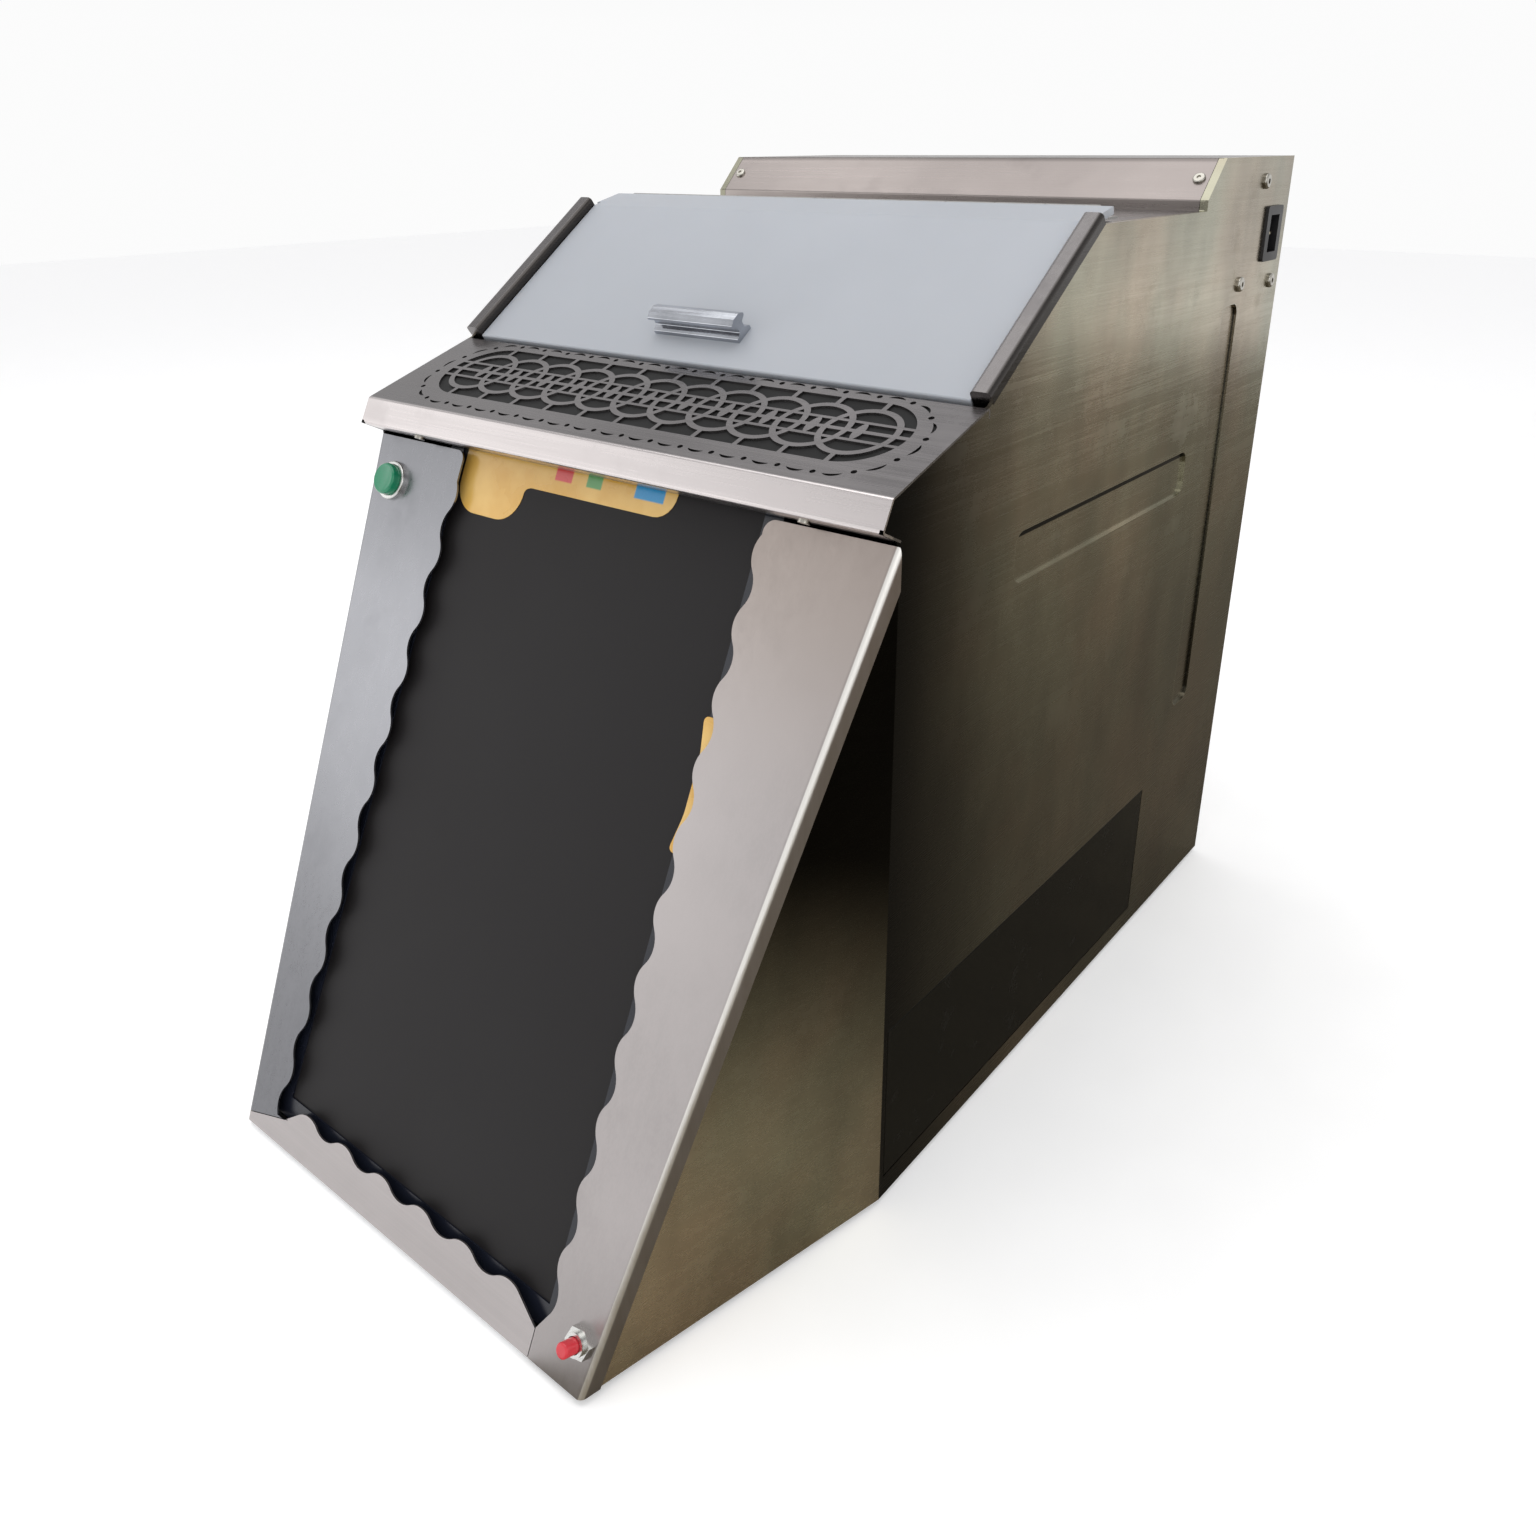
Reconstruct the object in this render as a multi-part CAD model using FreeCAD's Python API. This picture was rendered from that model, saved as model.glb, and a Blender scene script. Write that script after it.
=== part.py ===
"""Bench-top trash compactor: folded stainless cabinet, portrait monitor in a leaning front,
hinged hopper lid, screw-driven ram, sliding drop gate and a waste drawer.

Millimetres, +Z up, +X to the machine's right-hand side, +Y to the rear.
The origin is under the middle of the machine, on the surface that its feet stand on.
"""
import FreeCAD, Part
import math
import os

os.makedirs("parts", exist_ok=True)
V = FreeCAD.Vector

# ---- driving dimensions -------------------------------------------------------------------
HALF_WIDTH = 200.0          # outer face of each side panel
TOE_Y = -345.0              # foot of the leaning front
CREASE_Y = -150.0           # where the side panels end and the tapering cheeks begin
REAR_Y = 345.0
FOOT_HEIGHT = 4.0
BASE_Z = FOOT_HEIGHT
TOE_HALF_WIDTH = 153.5      # the front narrows to this at its foot
FASCIA_TOP_Z = 407.0
LIP_Y, LIP_Z = -157.0, 430.0            # front fold of the header cover
LIP_LOW_Y, LIP_LOW_Z = -165.0, 415.0    # bottom fold of its lip
EAVE_Y, EAVE_Z = -72.0, 458.0           # where header cover and lid meet
BROW_Y, DECK_Z = 40.0, 537.0            # top of the lid's long facet, level of the deck
CREST_Y, CREST_Z = 68.0, 545.0          # rear edge of the lid
HOOD_Y, HOOD_FOLD_Z = 189.0, 543.5      # foot of the hood's slope
HOOD_TOP_Y, HOOD_TOP_Z = 213.0, 567.5

SIDE_T = 2.0                # side panels
SHEET_T = 1.2               # other folded sheet
BEND_R = 0.8                # inside radius of a fold
BACKING_T = 1.2             # sheet behind the fretwork and the slots
GAP = 0.3                   # clearance between pieces that move past each other
RUN_FIT = 0.05              # radial clearance of a shaft in its bush

SIDE_IN = HALF_WIDTH - SIDE_T
SLOT_R = 8.0
DOME_SHARE = 0.6            # rounding of a screw head, as a share of its height
SOCKET_SHARE = 0.35         # radius of its socket, as a share of its own
SIDE_SLOT = (-35.0, 204.5, 354.0, 383.5)        # y0, y1, z0, z1 of the level slot
REAR_SLOT = (239.5, 267.8, 178.0, 474.3)        # and of the upright slot
DRAWER_HOLE = (-146.2, 199.6, 18.4, 124.4)
INLET = (300.5, 331.0, 498.9, 535.6)

LID_T = 4.5
LID_PROUD = 1.5             # lid face above the slope of the side panels
LID_HALF = 188.4
LID_TOP_HALF = 192.0
HINGE_Y, HINGE_Z = 73.0, 541.5
KNUCKLE_R = 3.5
HINGE_PIN_R = 1.6
KNUCKLES = 11
HINGE_HALF = 181.5

MONITOR_X = -4.5
SCREEN_HALF = 120.0
SCREEN_S0, SCREEN_S1 = 27.0, 454.0      # along the slope of the front
BEZEL_SIDE = 12.0
BEZEL_END = 13.0
MONITOR_DEPTH = 6.0         # bezel face behind the face of the front
BEZEL_T = 12.0

START_X, START_S = -176.0, 418.0
STOP_X, STOP_S = 146.0, 27.0

BULKHEAD_Y = 240.0
LINER_IN = 170.0
LINER_T = 1.5
ANVIL_Y = -85.0
RAM_Y = 62.0
RAM_HALF = 167.0
RAM_Z0, RAM_Z1 = 138.0, 440.0
CHAMBER_Z0, CHAMBER_Z1 = 137.0, 444.0
SCREW_Z = 369.0
SCREW_R = 8.0
ROD_X = 186.0
ROD_R = 6.0
BUSH_R = 8.5
MOTOR_Z = 281.0
MOTOR_R = 30.0
SHAFT_R = 5.0
BIG_PULLEY_R = 24.0
SMALL_PULLEY_R = 12.0
PULLEY_Y0, PULLEY_Y1 = 246.0, 262.0
BELT_T = 1.8
BELT_PITCH = 5.0

GATE_HALF = 164.0
GATE_Y0, GATE_Y1 = -84.6, 66.0
GATE_Z0, GATE_Z1 = 131.0, 135.0
RACK_MODULE = 1.0
ROOT_SHARE, TIP_SHARE = 1.3, 0.8        # tooth depth below and above the pitch line, in modules
RACK_PITCH_X = -171.0
PINION_TEETH = 16
PINION_R = RACK_MODULE * PINION_TEETH / 2
PINION_X = RACK_PITCH_X - PINION_R
PINION_Y = 60.0
STUB_R = 1.5

DRAWER_X0, DRAWER_X1 = -180.0, 197.0
DRAWER_Y0, DRAWER_Y1 = -136.0, 190.0
DRAWER_Z0, DRAWER_Z1 = 24.0, 114.0
DRAWER_T = 1.6

FASCIA_LEAN = math.degrees(math.atan2(CREASE_Y - TOE_Y, FASCIA_TOP_Z - BASE_Z))
HEADER_SLOPE = math.degrees(math.atan2(EAVE_Z - LIP_Z, EAVE_Y - LIP_Y))
HEADER_LENGTH = math.hypot(EAVE_Y - LIP_Y, EAVE_Z - LIP_Z)
LID_SLOPE = math.degrees(math.atan2(DECK_Z - EAVE_Z, BROW_Y - EAVE_Y))
SLOPE_LENGTH = math.hypot(BROW_Y - EAVE_Y, DECK_Z - EAVE_Z)


# ---- building blocks ----------------------------------------------------------------------
def block(x0, x1, y0, y1, z0, z1):
    return Part.makeBox(x1 - x0, y1 - y0, z1 - z0, V(x0, y0, z0))


def rod(start, direction, radius, length):
    return Part.makeCylinder(radius, length, V(*start), V(*direction))


def tube(start, direction, outer, inner, length):
    return rod(start, direction, outer, length).cut(rod(start, direction, inner, length))


def face_of(points):
    return Part.Face(Part.makePolygon(points + points[:1]))


def prism_x(outline, x0, x1):
    """Prism along X over a (y, z) outline."""
    return face_of([V(x0, y, z) for y, z in outline]).extrude(V(x1 - x0, 0, 0))


def prism_z(outline, z0, z1):
    """Prism along Z over an (x, y) outline."""
    return face_of([V(x, y, z0) for x, y in outline]).extrude(V(0, 0, z1 - z0))


def mirrored(shape):
    """The shape reflected in the plane x = 0."""
    return shape.mirror(V(0, 0, 0), V(1, 0, 0))


def pair(shape):
    return Part.makeCompound([shape, mirrored(shape)])


def fuse(shapes):
    return shapes[0].multiFuse(shapes[1:]).removeSplitter()


def in_fascia(shape):
    """From (x, depth behind the front, distance up its slope) to machine axes."""
    shape.rotate(V(0, 0, 0), V(1, 0, 0), -FASCIA_LEAN)
    shape.translate(V(0, TOE_Y, BASE_Z))
    return shape


def in_header(shape):
    """From (x, distance up the header cover, height over it) to machine axes."""
    shape.rotate(V(0, 0, 0), V(1, 0, 0), HEADER_SLOPE)
    shape.translate(V(0, LIP_Y, LIP_Z))
    return shape


def in_lid(shape):
    """From (x, distance up the lid's slope, height over it) to machine axes."""
    shape.rotate(V(0, 0, 0), V(1, 0, 0), LID_SLOPE)
    shape.translate(V(0, EAVE_Y, EAVE_Z))
    return shape


def lid_point(v, w):
    """(y, z) of a point v up the lid's slope and w over it."""
    slope = math.radians(LID_SLOPE)
    y = EAVE_Y + v * math.cos(slope) - w * math.sin(slope)
    z = EAVE_Z + v * math.sin(slope) + w * math.cos(slope)
    return (y, z)


def offset_line(line, distance):
    """The (y, z) line moved to its left by distance, mitred at the folds."""
    runs = []
    for (y0, z0), (y1, z1) in zip(line, line[1:]):
        length = math.hypot(y1 - y0, z1 - z0)
        runs.append(((y1 - y0) / length, (z1 - z0) / length))
    moved = []
    for i, (y, z) in enumerate(line):
        ay, az = runs[max(i - 1, 0)]
        by, bz = runs[min(i, len(runs) - 1)]
        scale = distance / (1 + ay * by + az * bz)
        moved.append((y - (az + bz) * scale, z + (ay + by) * scale))
    return moved


def round_edges(shape, points, radius):
    """Round the edges parallel to X that pass through the given (y, z) points."""
    chosen = []
    for edge in shape.Edges:
        a, b = edge.Vertexes[0].Point, edge.Vertexes[-1].Point
        if (b - a).Length < 1 or abs((b - a).normalize().x) < 0.999:
            continue
        if any(math.hypot(a.y - y, a.z - z) < 0.05 for y, z in points):
            chosen.append(edge)
    return shape.makeFillet(radius, chosen)


def folded_sheet(line, thickness, x0, x1):
    """Sheet folded along the (y, z) line; a positive thickness lies on the line's left."""
    inner = offset_line(line, thickness)
    shape = prism_x(line + inner[::-1], x0, x1)
    outside, inside = [], []
    for i in range(1, len(line) - 1):
        (ay, az), (by, bz), (cy, cz) = line[i - 1:i + 2]
        left_turn = (by - ay) * (cz - bz) - (bz - az) * (cy - by) > 0
        wraps_inner = left_turn == (thickness > 0)
        outside.append(line[i] if wraps_inner else inner[i])
        inside.append(inner[i] if wraps_inner else line[i])
    if outside:
        shape = round_edges(shape, outside, abs(thickness) + BEND_R)
        shape = round_edges(shape, inside, BEND_R)
    return shape


def edges_along(shape, axis):
    """The straight or curved edges that start off along the axis, "x", "y" or "z"."""
    return [e for e in shape.Edges if abs(getattr(e.tangentAt(e.FirstParameter), axis)) > 0.99]


def slot_hole(y0, y1, z0, z1, x0, x1):
    """Round-cornered block for a slot cut through a side panel."""
    shape = block(x0, x1, y0, y1, z0, z1)
    return shape.makeFillet(SLOT_R, edges_along(shape, "x"))


def button_head(centre, direction, radius, height, shank_r, shank):
    """Domed socket screw: its head stands off the face at centre, its shank goes inwards."""
    out = V(*direction)
    out.normalize()
    base = V(*centre)
    head = Part.makeCylinder(radius, height, base, out)
    rim = [e for e in head.Edges if e.CenterOfMass.distanceToPoint(base + out * height) < 0.01]
    head = head.makeFillet(height * DOME_SHARE, rim)
    socket = Part.makeCylinder(radius * SOCKET_SHARE, height * 0.5, base + out * height * 0.55, out)
    head = head.cut(socket)
    return head.fuse(Part.makeCylinder(shank_r, shank, base - out * shank, out)).removeSplitter()


def save(name, shape):
    bad = [s for s in shape.Solids if not s.isValid() or s.Volume <= 0]
    remark = "  BAD" if bad else ""
    print("%-20s solids %2d volume %12.1f%s" % (name, len(shape.Solids), shape.Volume, remark))
    shape.exportStep("parts/%s.step" % name)


# ---- header cover -------------------------------------------------------------------------
PILL_X, PILL_U = 3.0, 49.5
PILL_HALF, PILL_R = 174.0, 29.5
BORDER_U, BORDER_R, BORDER_HALF = 46.8, 37.4, 183.0
MARKS = 38                              # pairs of a dash and a dot
DASH_HALF, DASH_BOW, DASH_W, DOT_R = 5.4, 1.5, 1.9, 1.6
RINGS = 11
RING_PITCH, RING_R, RING_W = 29.0, 21.0, 3.6
LEAF_R, LEAF_SHIFT = 15.0, 12.0         # a leaf is where two discs this far apart overlap
STAY_HALF = 1.5                         # half width of the upright bars that hold the rings
BAR_LEVELS = ((-8.5, 1.1), (0.0, 1.4), (8.5, 1.1))      # height and half width of the level bars


def pill(x, u, half, radius, w0, w1):
    height = w1 - w0
    middle = block(x - half + radius, x + half - radius, u - radius, u + radius, w0, w1)
    ends = [rod((x + side * (half - radius), u, w0), (0, 0, 1), radius, height) for side in (-1, 1)]
    return fuse([middle] + ends)


def fretwork():
    """Chain of interlaced rings with leaves in their overlaps, tied to level bars."""
    w0 = -SHEET_T
    outer, inner = RING_R + RING_W / 2, RING_R - RING_W / 2
    reach = PILL_HALF + 1
    pieces = []
    for i in range(RINGS):
        x = PILL_X + (i - (RINGS - 1) / 2) * RING_PITCH
        pieces.append(tube((x, PILL_U, w0), (0, 0, 1), outer, inner, SHEET_T))
        pieces.append(block(x - STAY_HALF, x + STAY_HALF, PILL_U + inner, PILL_U + PILL_R + 1, w0, 0))
        pieces.append(block(x - STAY_HALF, x + STAY_HALF, PILL_U - PILL_R - 1, PILL_U - inner, w0, 0))
        left = rod((x - LEAF_SHIFT, PILL_U, w0), (0, 0, 1), LEAF_R, SHEET_T)
        pieces.append(left.common(rod((x + LEAF_SHIFT, PILL_U, w0), (0, 0, 1), LEAF_R, SHEET_T)))
    for level, half in BAR_LEVELS:
        u = PILL_U + level
        pieces.append(block(PILL_X - reach, PILL_X + reach, u - half, u + half, w0, 0))
    return fuse(pieces).common(pill(PILL_X, PILL_U, PILL_HALF, PILL_R, w0, 0))


def dash():
    """Crescent that bows away from the fretwork, pointed at both ends."""
    left, right = V(-DASH_HALF, 0, -3), V(DASH_HALF, 0, -3)
    outer = Part.Arc(left, V(0, -DASH_BOW - DASH_W / 2, -3), right).toShape()
    inner = Part.Arc(right, V(0, -DASH_BOW + DASH_W / 2, -3), left).toShape()
    return Part.Face(Part.Wire([outer, inner])).extrude(V(0, 0, 4))


def border_cuts():
    """Dashes and dots in turn round a line outside the fretwork."""
    straight = 2 * (BORDER_HALF - BORDER_R)
    bend = math.pi * BORDER_R
    length = 2 * (straight + bend)
    cuts = []
    for i in range(2 * MARKS):
        along = length * i / (2 * MARKS)
        side = 1 if along < straight + bend else -1
        local = along % (straight + bend)
        if local < straight:
            x, u, turn = -straight / 2 + local, -BORDER_R, 0.0
        else:
            turn = (local - straight) / BORDER_R
            x, u = straight / 2 + BORDER_R * math.sin(turn), -BORDER_R * math.cos(turn)
        if i % 2:
            mark = rod((0, 0, -3), (0, 0, 1), DOT_R, 4)
        else:
            mark = dash()
        mark.rotate(V(0, 0, 0), V(0, 0, 1), math.degrees(turn))
        mark.translate(V(x, u, 0))
        if side < 0:
            mark.rotate(V(0, 0, 0), V(0, 0, 1), 180)
        mark.translate(V(PILL_X, BORDER_U, 0))
        cuts.append(mark)
    return Part.makeCompound(cuts)


header_line = [(EAVE_Y, EAVE_Z - 6.0), (EAVE_Y, EAVE_Z), (LIP_Y, LIP_Z),
               (LIP_LOW_Y, LIP_LOW_Z), (CREASE_Y + 0.4, FASCIA_TOP_Z + GAP)]
header_blank = folded_sheet(header_line, SHEET_T, -HALF_WIDTH, HALF_WIDTH)


def header_cover():
    opening = in_header(pill(PILL_X, PILL_U, PILL_HALF, PILL_R, -3, 1))
    cover = header_blank.cut(opening).cut(in_header(border_cuts()))
    return cover.fuse(in_header(fretwork())).removeSplitter()


def badge_backing():
    """Black sheet behind the fretwork, clear of the cover's folds."""
    return in_header(block(-190, 190, 4.5, 86, -SHEET_T - BACKING_T, -SHEET_T))


save("header_cover", header_cover())
save("badge_backing", badge_backing())


# ---- side panels --------------------------------------------------------------------------
PANEL_SCREW_R = 2.5
SIDE_SCREWS = [(291.3, 552.0), (264.8, 487.0), (327.4, 484.6)]
FLANGE_W = 5.2
side_outline = [(CREASE_Y, BASE_Z), (REAR_Y, BASE_Z), (REAR_Y, HOOD_TOP_Z), (HOOD_TOP_Y, HOOD_TOP_Z),
                (HOOD_Y, HOOD_FOLD_Z), (HOOD_Y, DECK_Z), (BROW_Y, DECK_Z), (EAVE_Y, EAVE_Z),
                (LIP_Y, LIP_Z), (LIP_LOW_Y, LIP_LOW_Z), (CREASE_Y, FASCIA_TOP_Z + GAP)]


def side_panel(with_openings):
    """Right-hand panel with the flange that the deck and hood butt against."""
    plate = prism_x(side_outline, SIDE_IN, HALF_WIDTH).cut(header_blank)
    flange_line = [(BROW_Y + 6, DECK_Z), (HOOD_Y, DECK_Z), (HOOD_Y, HOOD_FOLD_Z),
                   (HOOD_TOP_Y, HOOD_TOP_Z), (REAR_Y - SHEET_T, HOOD_TOP_Z)]
    flange = folded_sheet(flange_line, -SHEET_T, HALF_WIDTH - FLANGE_W, SIDE_IN)
    plate = plate.fuse(flange).removeSplitter()
    cuts = [slot_hole(*slot, SIDE_IN - 1, HALF_WIDTH + 1) for slot in (SIDE_SLOT, REAR_SLOT)]
    for y, z in SIDE_SCREWS:
        cuts.append(rod((SIDE_IN - 1, y, z), (1, 0, 0), PANEL_SCREW_R, SIDE_T + 2))
    if with_openings:
        y0, y1, z0, z1 = DRAWER_HOLE
        cuts.append(block(SIDE_IN - 1, HALF_WIDTH + 1, y0, y1, z0, z1))
        y0, y1, z0, z1 = INLET
        cuts.append(block(SIDE_IN - 1, HALF_WIDTH + 1, y0 + 2, y1 - 2, z0 + 2, z1 - 2))
    plate = plate.cut(Part.makeCompound(cuts))
    return max(plate.Solids, key=lambda s: s.Volume)


save("side_panel_right", side_panel(True))
save("side_panel_left", mirrored(side_panel(False)))


def slot_blanks():
    """Plates behind the slots, a margin larger all round."""
    margin = 6.0
    plates = []
    for y0, y1, z0, z1 in (SIDE_SLOT, REAR_SLOT):
        plate = block(SIDE_IN - BACKING_T, SIDE_IN, y0 - margin, y1 + margin, z0 - margin, z1 + margin)
        plates += [plate, mirrored(plate)]
    return Part.makeCompound(plates)


save("slot_blanks", slot_blanks())


# ---- leaning front: cheeks and fascia -----------------------------------------------------
def plane_meet(planes):
    """Point shared by three planes, each a (unit normal, distance) pair."""
    (a, p), (b, q), (c, r) = planes
    point = b.cross(c) * p + c.cross(a) * q + a.cross(b) * r
    return point * (1 / a.dot(b.cross(c)))


lean = math.radians(FASCIA_LEAN)
face_normal = V(0, -math.cos(lean), math.sin(lean))
face_distance = face_normal.dot(V(0, TOE_Y, BASE_Z))
toe_corner = V(TOE_HALF_WIDTH, TOE_Y, BASE_Z)
crease_foot = V(HALF_WIDTH, CREASE_Y, BASE_Z)
crease_top = V(HALF_WIDTH, CREASE_Y, FASCIA_TOP_Z)
cheek_normal = (crease_foot - toe_corner).cross(crease_top - toe_corner)
cheek_normal.normalize()


def wedge(side_in, face_in):
    """The tapering front as a solid, its cheeks and its face moved in by the two amounts."""
    face = (face_normal, face_distance - face_in)
    floor = (V(0, 0, 1), BASE_Z)
    back = (V(0, 1, 0), CREASE_Y)
    right = (cheek_normal, cheek_normal.dot(toe_corner) - side_in)
    toe = plane_meet([face, right, floor])
    foot = plane_meet([back, right, floor])
    top = plane_meet([back, right, face])
    flip = [V(-p.x, p.y, p.z) for p in (toe, foot, top)]
    faces = [face_of([toe, foot, top]), face_of(flip), face_of([toe, top, flip[2], flip[0]]),
             face_of([toe, foot, flip[1], flip[0]]), face_of([foot, top, flip[2], flip[1]])]
    solid = Part.makeSolid(Part.makeShell(faces))
    if solid.Volume < 0:
        solid.reverse()
    return solid


CHEEK_T = 1.5
FLANGE_DEPTH = 10.0
CHEEK_SETBACK = SHEET_T + 0.2           # the cheeks stop behind the front strips
cheeks = wedge(0, CHEEK_SETBACK).cut(wedge(CHEEK_T, -5))
for solid in cheeks.Solids:
    save("cheek_right" if solid.CenterOfMass.x > 0 else "cheek_left", solid)

SCALLOP = 2.9
HALF_WAVE = 18.7
SIDE_WAVES, FOOT_WAVES = 22, 11
RIGHT_EDGE, RIGHT_FOOT = 121.3, 26.3    # the window's right edge and its lower end
LEFT_TOP, LEFT_FOOT = -115.6, -126.5    # its left edge leans out towards the foot
LEFT_HIGH = 427.0
FOOT_LEFT, FOOT_LEVEL = -106.4, 25.0
STRIP_TOP = 446.2
CORNER_R = 6.0
START_HOLE_R, STOP_HOLE_R = 11.0, 6.0
SEAM_X, SEAM_W = 115.0, 0.5             # joint between the right and bottom strips
LEFT_SEAM_TURN = 17.0                   # slant of the joint at the lower left


def wave(start, end, count, side):
    """Arcs in turn to each side of the line from start to end; side is +1 or -1 at the start."""
    step = (end - start) * (1 / count)
    across = V(-step.z, 0, step.x)
    across.normalize()
    arcs = []
    for i in range(count):
        a = start + step * i
        b = start + step * (i + 1)
        bulge = (a + b) * 0.5 + across * (SCALLOP * side * (-1) ** i)
        arcs.append(Part.Arc(a, bulge, b).toShape())
    return arcs


def window():
    """Opening of the front, open at the top, with scalloped edges on three sides."""
    def at(x, s):
        return V(x, -4, s)

    side_run = SIDE_WAVES * HALF_WAVE
    right_low, right_high = at(RIGHT_EDGE, RIGHT_FOOT), at(RIGHT_EDGE, RIGHT_FOOT + side_run)
    left_high, left_low = at(LEFT_TOP, LEFT_HIGH), at(LEFT_FOOT, LEFT_HIGH - side_run)
    foot_left, foot_right = at(FOOT_LEFT, FOOT_LEVEL), at(FOOT_LEFT + FOOT_WAVES * HALF_WAVE, FOOT_LEVEL)
    foot_corner = at(SEAM_X, 15.5)
    foot_turn = at(-119.0, left_low.z)
    round_right = at(RIGHT_EDGE + CORNER_R, STRIP_TOP)
    round_left = at(LEFT_TOP - CORNER_R, STRIP_TOP)
    bend_right = at(RIGHT_EDGE + CORNER_R * 0.35, STRIP_TOP - CORNER_R * 0.3)
    bend_left = at(LEFT_TOP - CORNER_R * 0.3, STRIP_TOP - CORNER_R * 0.3)
    top_right, top_left = at(round_right.x, STRIP_TOP + 20), at(round_left.x, STRIP_TOP + 20)
    shoulder = at(LEFT_TOP, STRIP_TOP - CORNER_R)

    edges = wave(right_low, right_high, SIDE_WAVES, -1)
    edges.append(Part.Arc(right_high, bend_right, round_right).toShape())
    for start, end in ((round_right, top_right), (top_right, top_left), (top_left, round_left)):
        edges.append(Part.makeLine(start, end))
    edges.append(Part.Arc(round_left, bend_left, shoulder).toShape())
    edges.append(Part.makeLine(shoulder, left_high))
    edges += wave(left_high, left_low, SIDE_WAVES, 1)
    for start, end in ((left_low, foot_turn), (foot_turn, foot_left)):
        edges.append(Part.makeLine(start, end))
    edges += wave(foot_left, foot_right, FOOT_WAVES, 1)
    for start, end in ((foot_right, foot_corner), (foot_corner, right_low)):
        edges.append(Part.makeLine(start, end))
    return Part.Face(Part.Wire(edges)).extrude(V(0, 12, 0))


def fascia_pieces():
    """The folded front, cut by two seams into its left, right and bottom strips."""
    outer = wedge(-SHEET_T, 0)
    rims = []
    for edge in outer.Edges:
        a, b = edge.Vertexes[0].Point, edge.Vertexes[-1].Point
        if abs(b.z - a.z) > 300 and abs(b.y - a.y) > 100:
            rims.append(edge)
    shell = outer.makeFillet(4.0, rims).cut(wedge(0, SHEET_T))
    shell = shell.common(in_fascia(block(-220, 220, -1, FLANGE_DEPTH, -20, STRIP_TOP)))
    right_seam = block(SEAM_X, SEAM_X + SEAM_W, -5, 15, -20, 18)
    left_seam = block(-60, 9, -5, 15, -SEAM_W / 2, SEAM_W / 2)
    left_seam.rotate(V(0, 0, 0), V(0, 1, 0), -LEFT_SEAM_TURN)
    left_seam.translate(V(-124.0, 0, 14.6))
    start_hole = rod((START_X, -5, START_S), (0, 1, 0), START_HOLE_R, 20)
    stop_hole = rod((STOP_X, -5, STOP_S), (0, 1, 0), STOP_HOLE_R, 20)
    holes = [window(), right_seam, left_seam, start_hole, stop_hole]
    shell = shell.cut(in_fascia(Part.makeCompound(holes)))
    pieces = {}
    for solid in sorted(shell.Solids, key=lambda s: -s.Volume)[:3]:
        middle = solid.CenterOfMass
        name = "fascia_bottom" if middle.z < 60 else ("fascia_right" if middle.x > 0 else "fascia_left")
        pieces[name] = solid
    return pieces


for name, solid in fascia_pieces().items():
    save(name, solid)


# ---- monitor ------------------------------------------------------------------------------
def monitor():
    """Bezel, screen and rear case of the portrait monitor."""
    x0, x1 = MONITOR_X - SCREEN_HALF, MONITOR_X + SCREEN_HALF
    d0, d1 = MONITOR_DEPTH, MONITOR_DEPTH + BEZEL_T
    outer = block(x0 - BEZEL_SIDE, x1 + BEZEL_SIDE, d0, d1, SCREEN_S0 - BEZEL_END, SCREEN_S1 + BEZEL_END)
    outer = outer.makeFillet(4.0, edges_along(outer, "y"))
    seat = block(x0 - 2, x1 + 2, d0 + 1, d1 + 1, SCREEN_S0 - 2, SCREEN_S1 + 2)
    sight = block(x0, x1, d0 - 1, d0 + 2, SCREEN_S0, SCREEN_S1)
    bezel = outer.cut(seat).cut(sight)
    screen = block(x0 - 2, x1 + 2, d0 + 1, d1, SCREEN_S0 - 2, SCREEN_S1 + 2)
    outline = [(d1, 0), (d1, 370), (d1 + 40, 350), (d1 + 40, 20)]
    bulge = prism_x(outline, MONITOR_X - 125, MONITOR_X + 125)
    bulge.translate(V(0, 0, 58))
    return in_fascia(bezel), in_fascia(screen), in_fascia(bulge)


bezel, screen, rear_case = monitor()
save("monitor_bezel", bezel)
save("screen_panel", screen)
save("monitor_rear_case", rear_case)


def monitor_brackets():
    """Angle strips up both sides of the monitor, fixed behind the fascia strips."""
    reach = SCREEN_HALF + BEZEL_SIDE
    strips = []
    for side in (-1, 1):
        edge = MONITOR_X + side * reach
        web = sorted((edge, edge + side * 1.5))
        foot = sorted((edge, edge + side * 11))
        angle = fuse([block(*web, SHEET_T, 17, 70, 420), block(*foot, SHEET_T, SHEET_T + 1.5, 70, 420)])
        strips.append(in_fascia(angle))
    return Part.makeCompound(strips)


save("monitor_brackets", monitor_brackets())


# ---- push buttons -------------------------------------------------------------------------
START_CAP_R, STOP_CAP_R = 10.0, 4.0
NUT_WIDTH, NUT_TURN = 14.5, 12.0        # across the flats, and how far it happens to be turned


def disc(x, s, radius, d0, d1):
    """Disc round a point of the front, between two depths behind its face."""
    return rod((x, d0, s), (0, 1, 0), radius, d1 - d0)


def rounded_front(shape, radius):
    """Round the edge of a disc that faces the user."""
    front_y = shape.BoundBox.YMin
    return shape.makeFillet(radius, [e for e in shape.Edges if abs(e.CenterOfMass.y - front_y) < 0.01])


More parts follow.
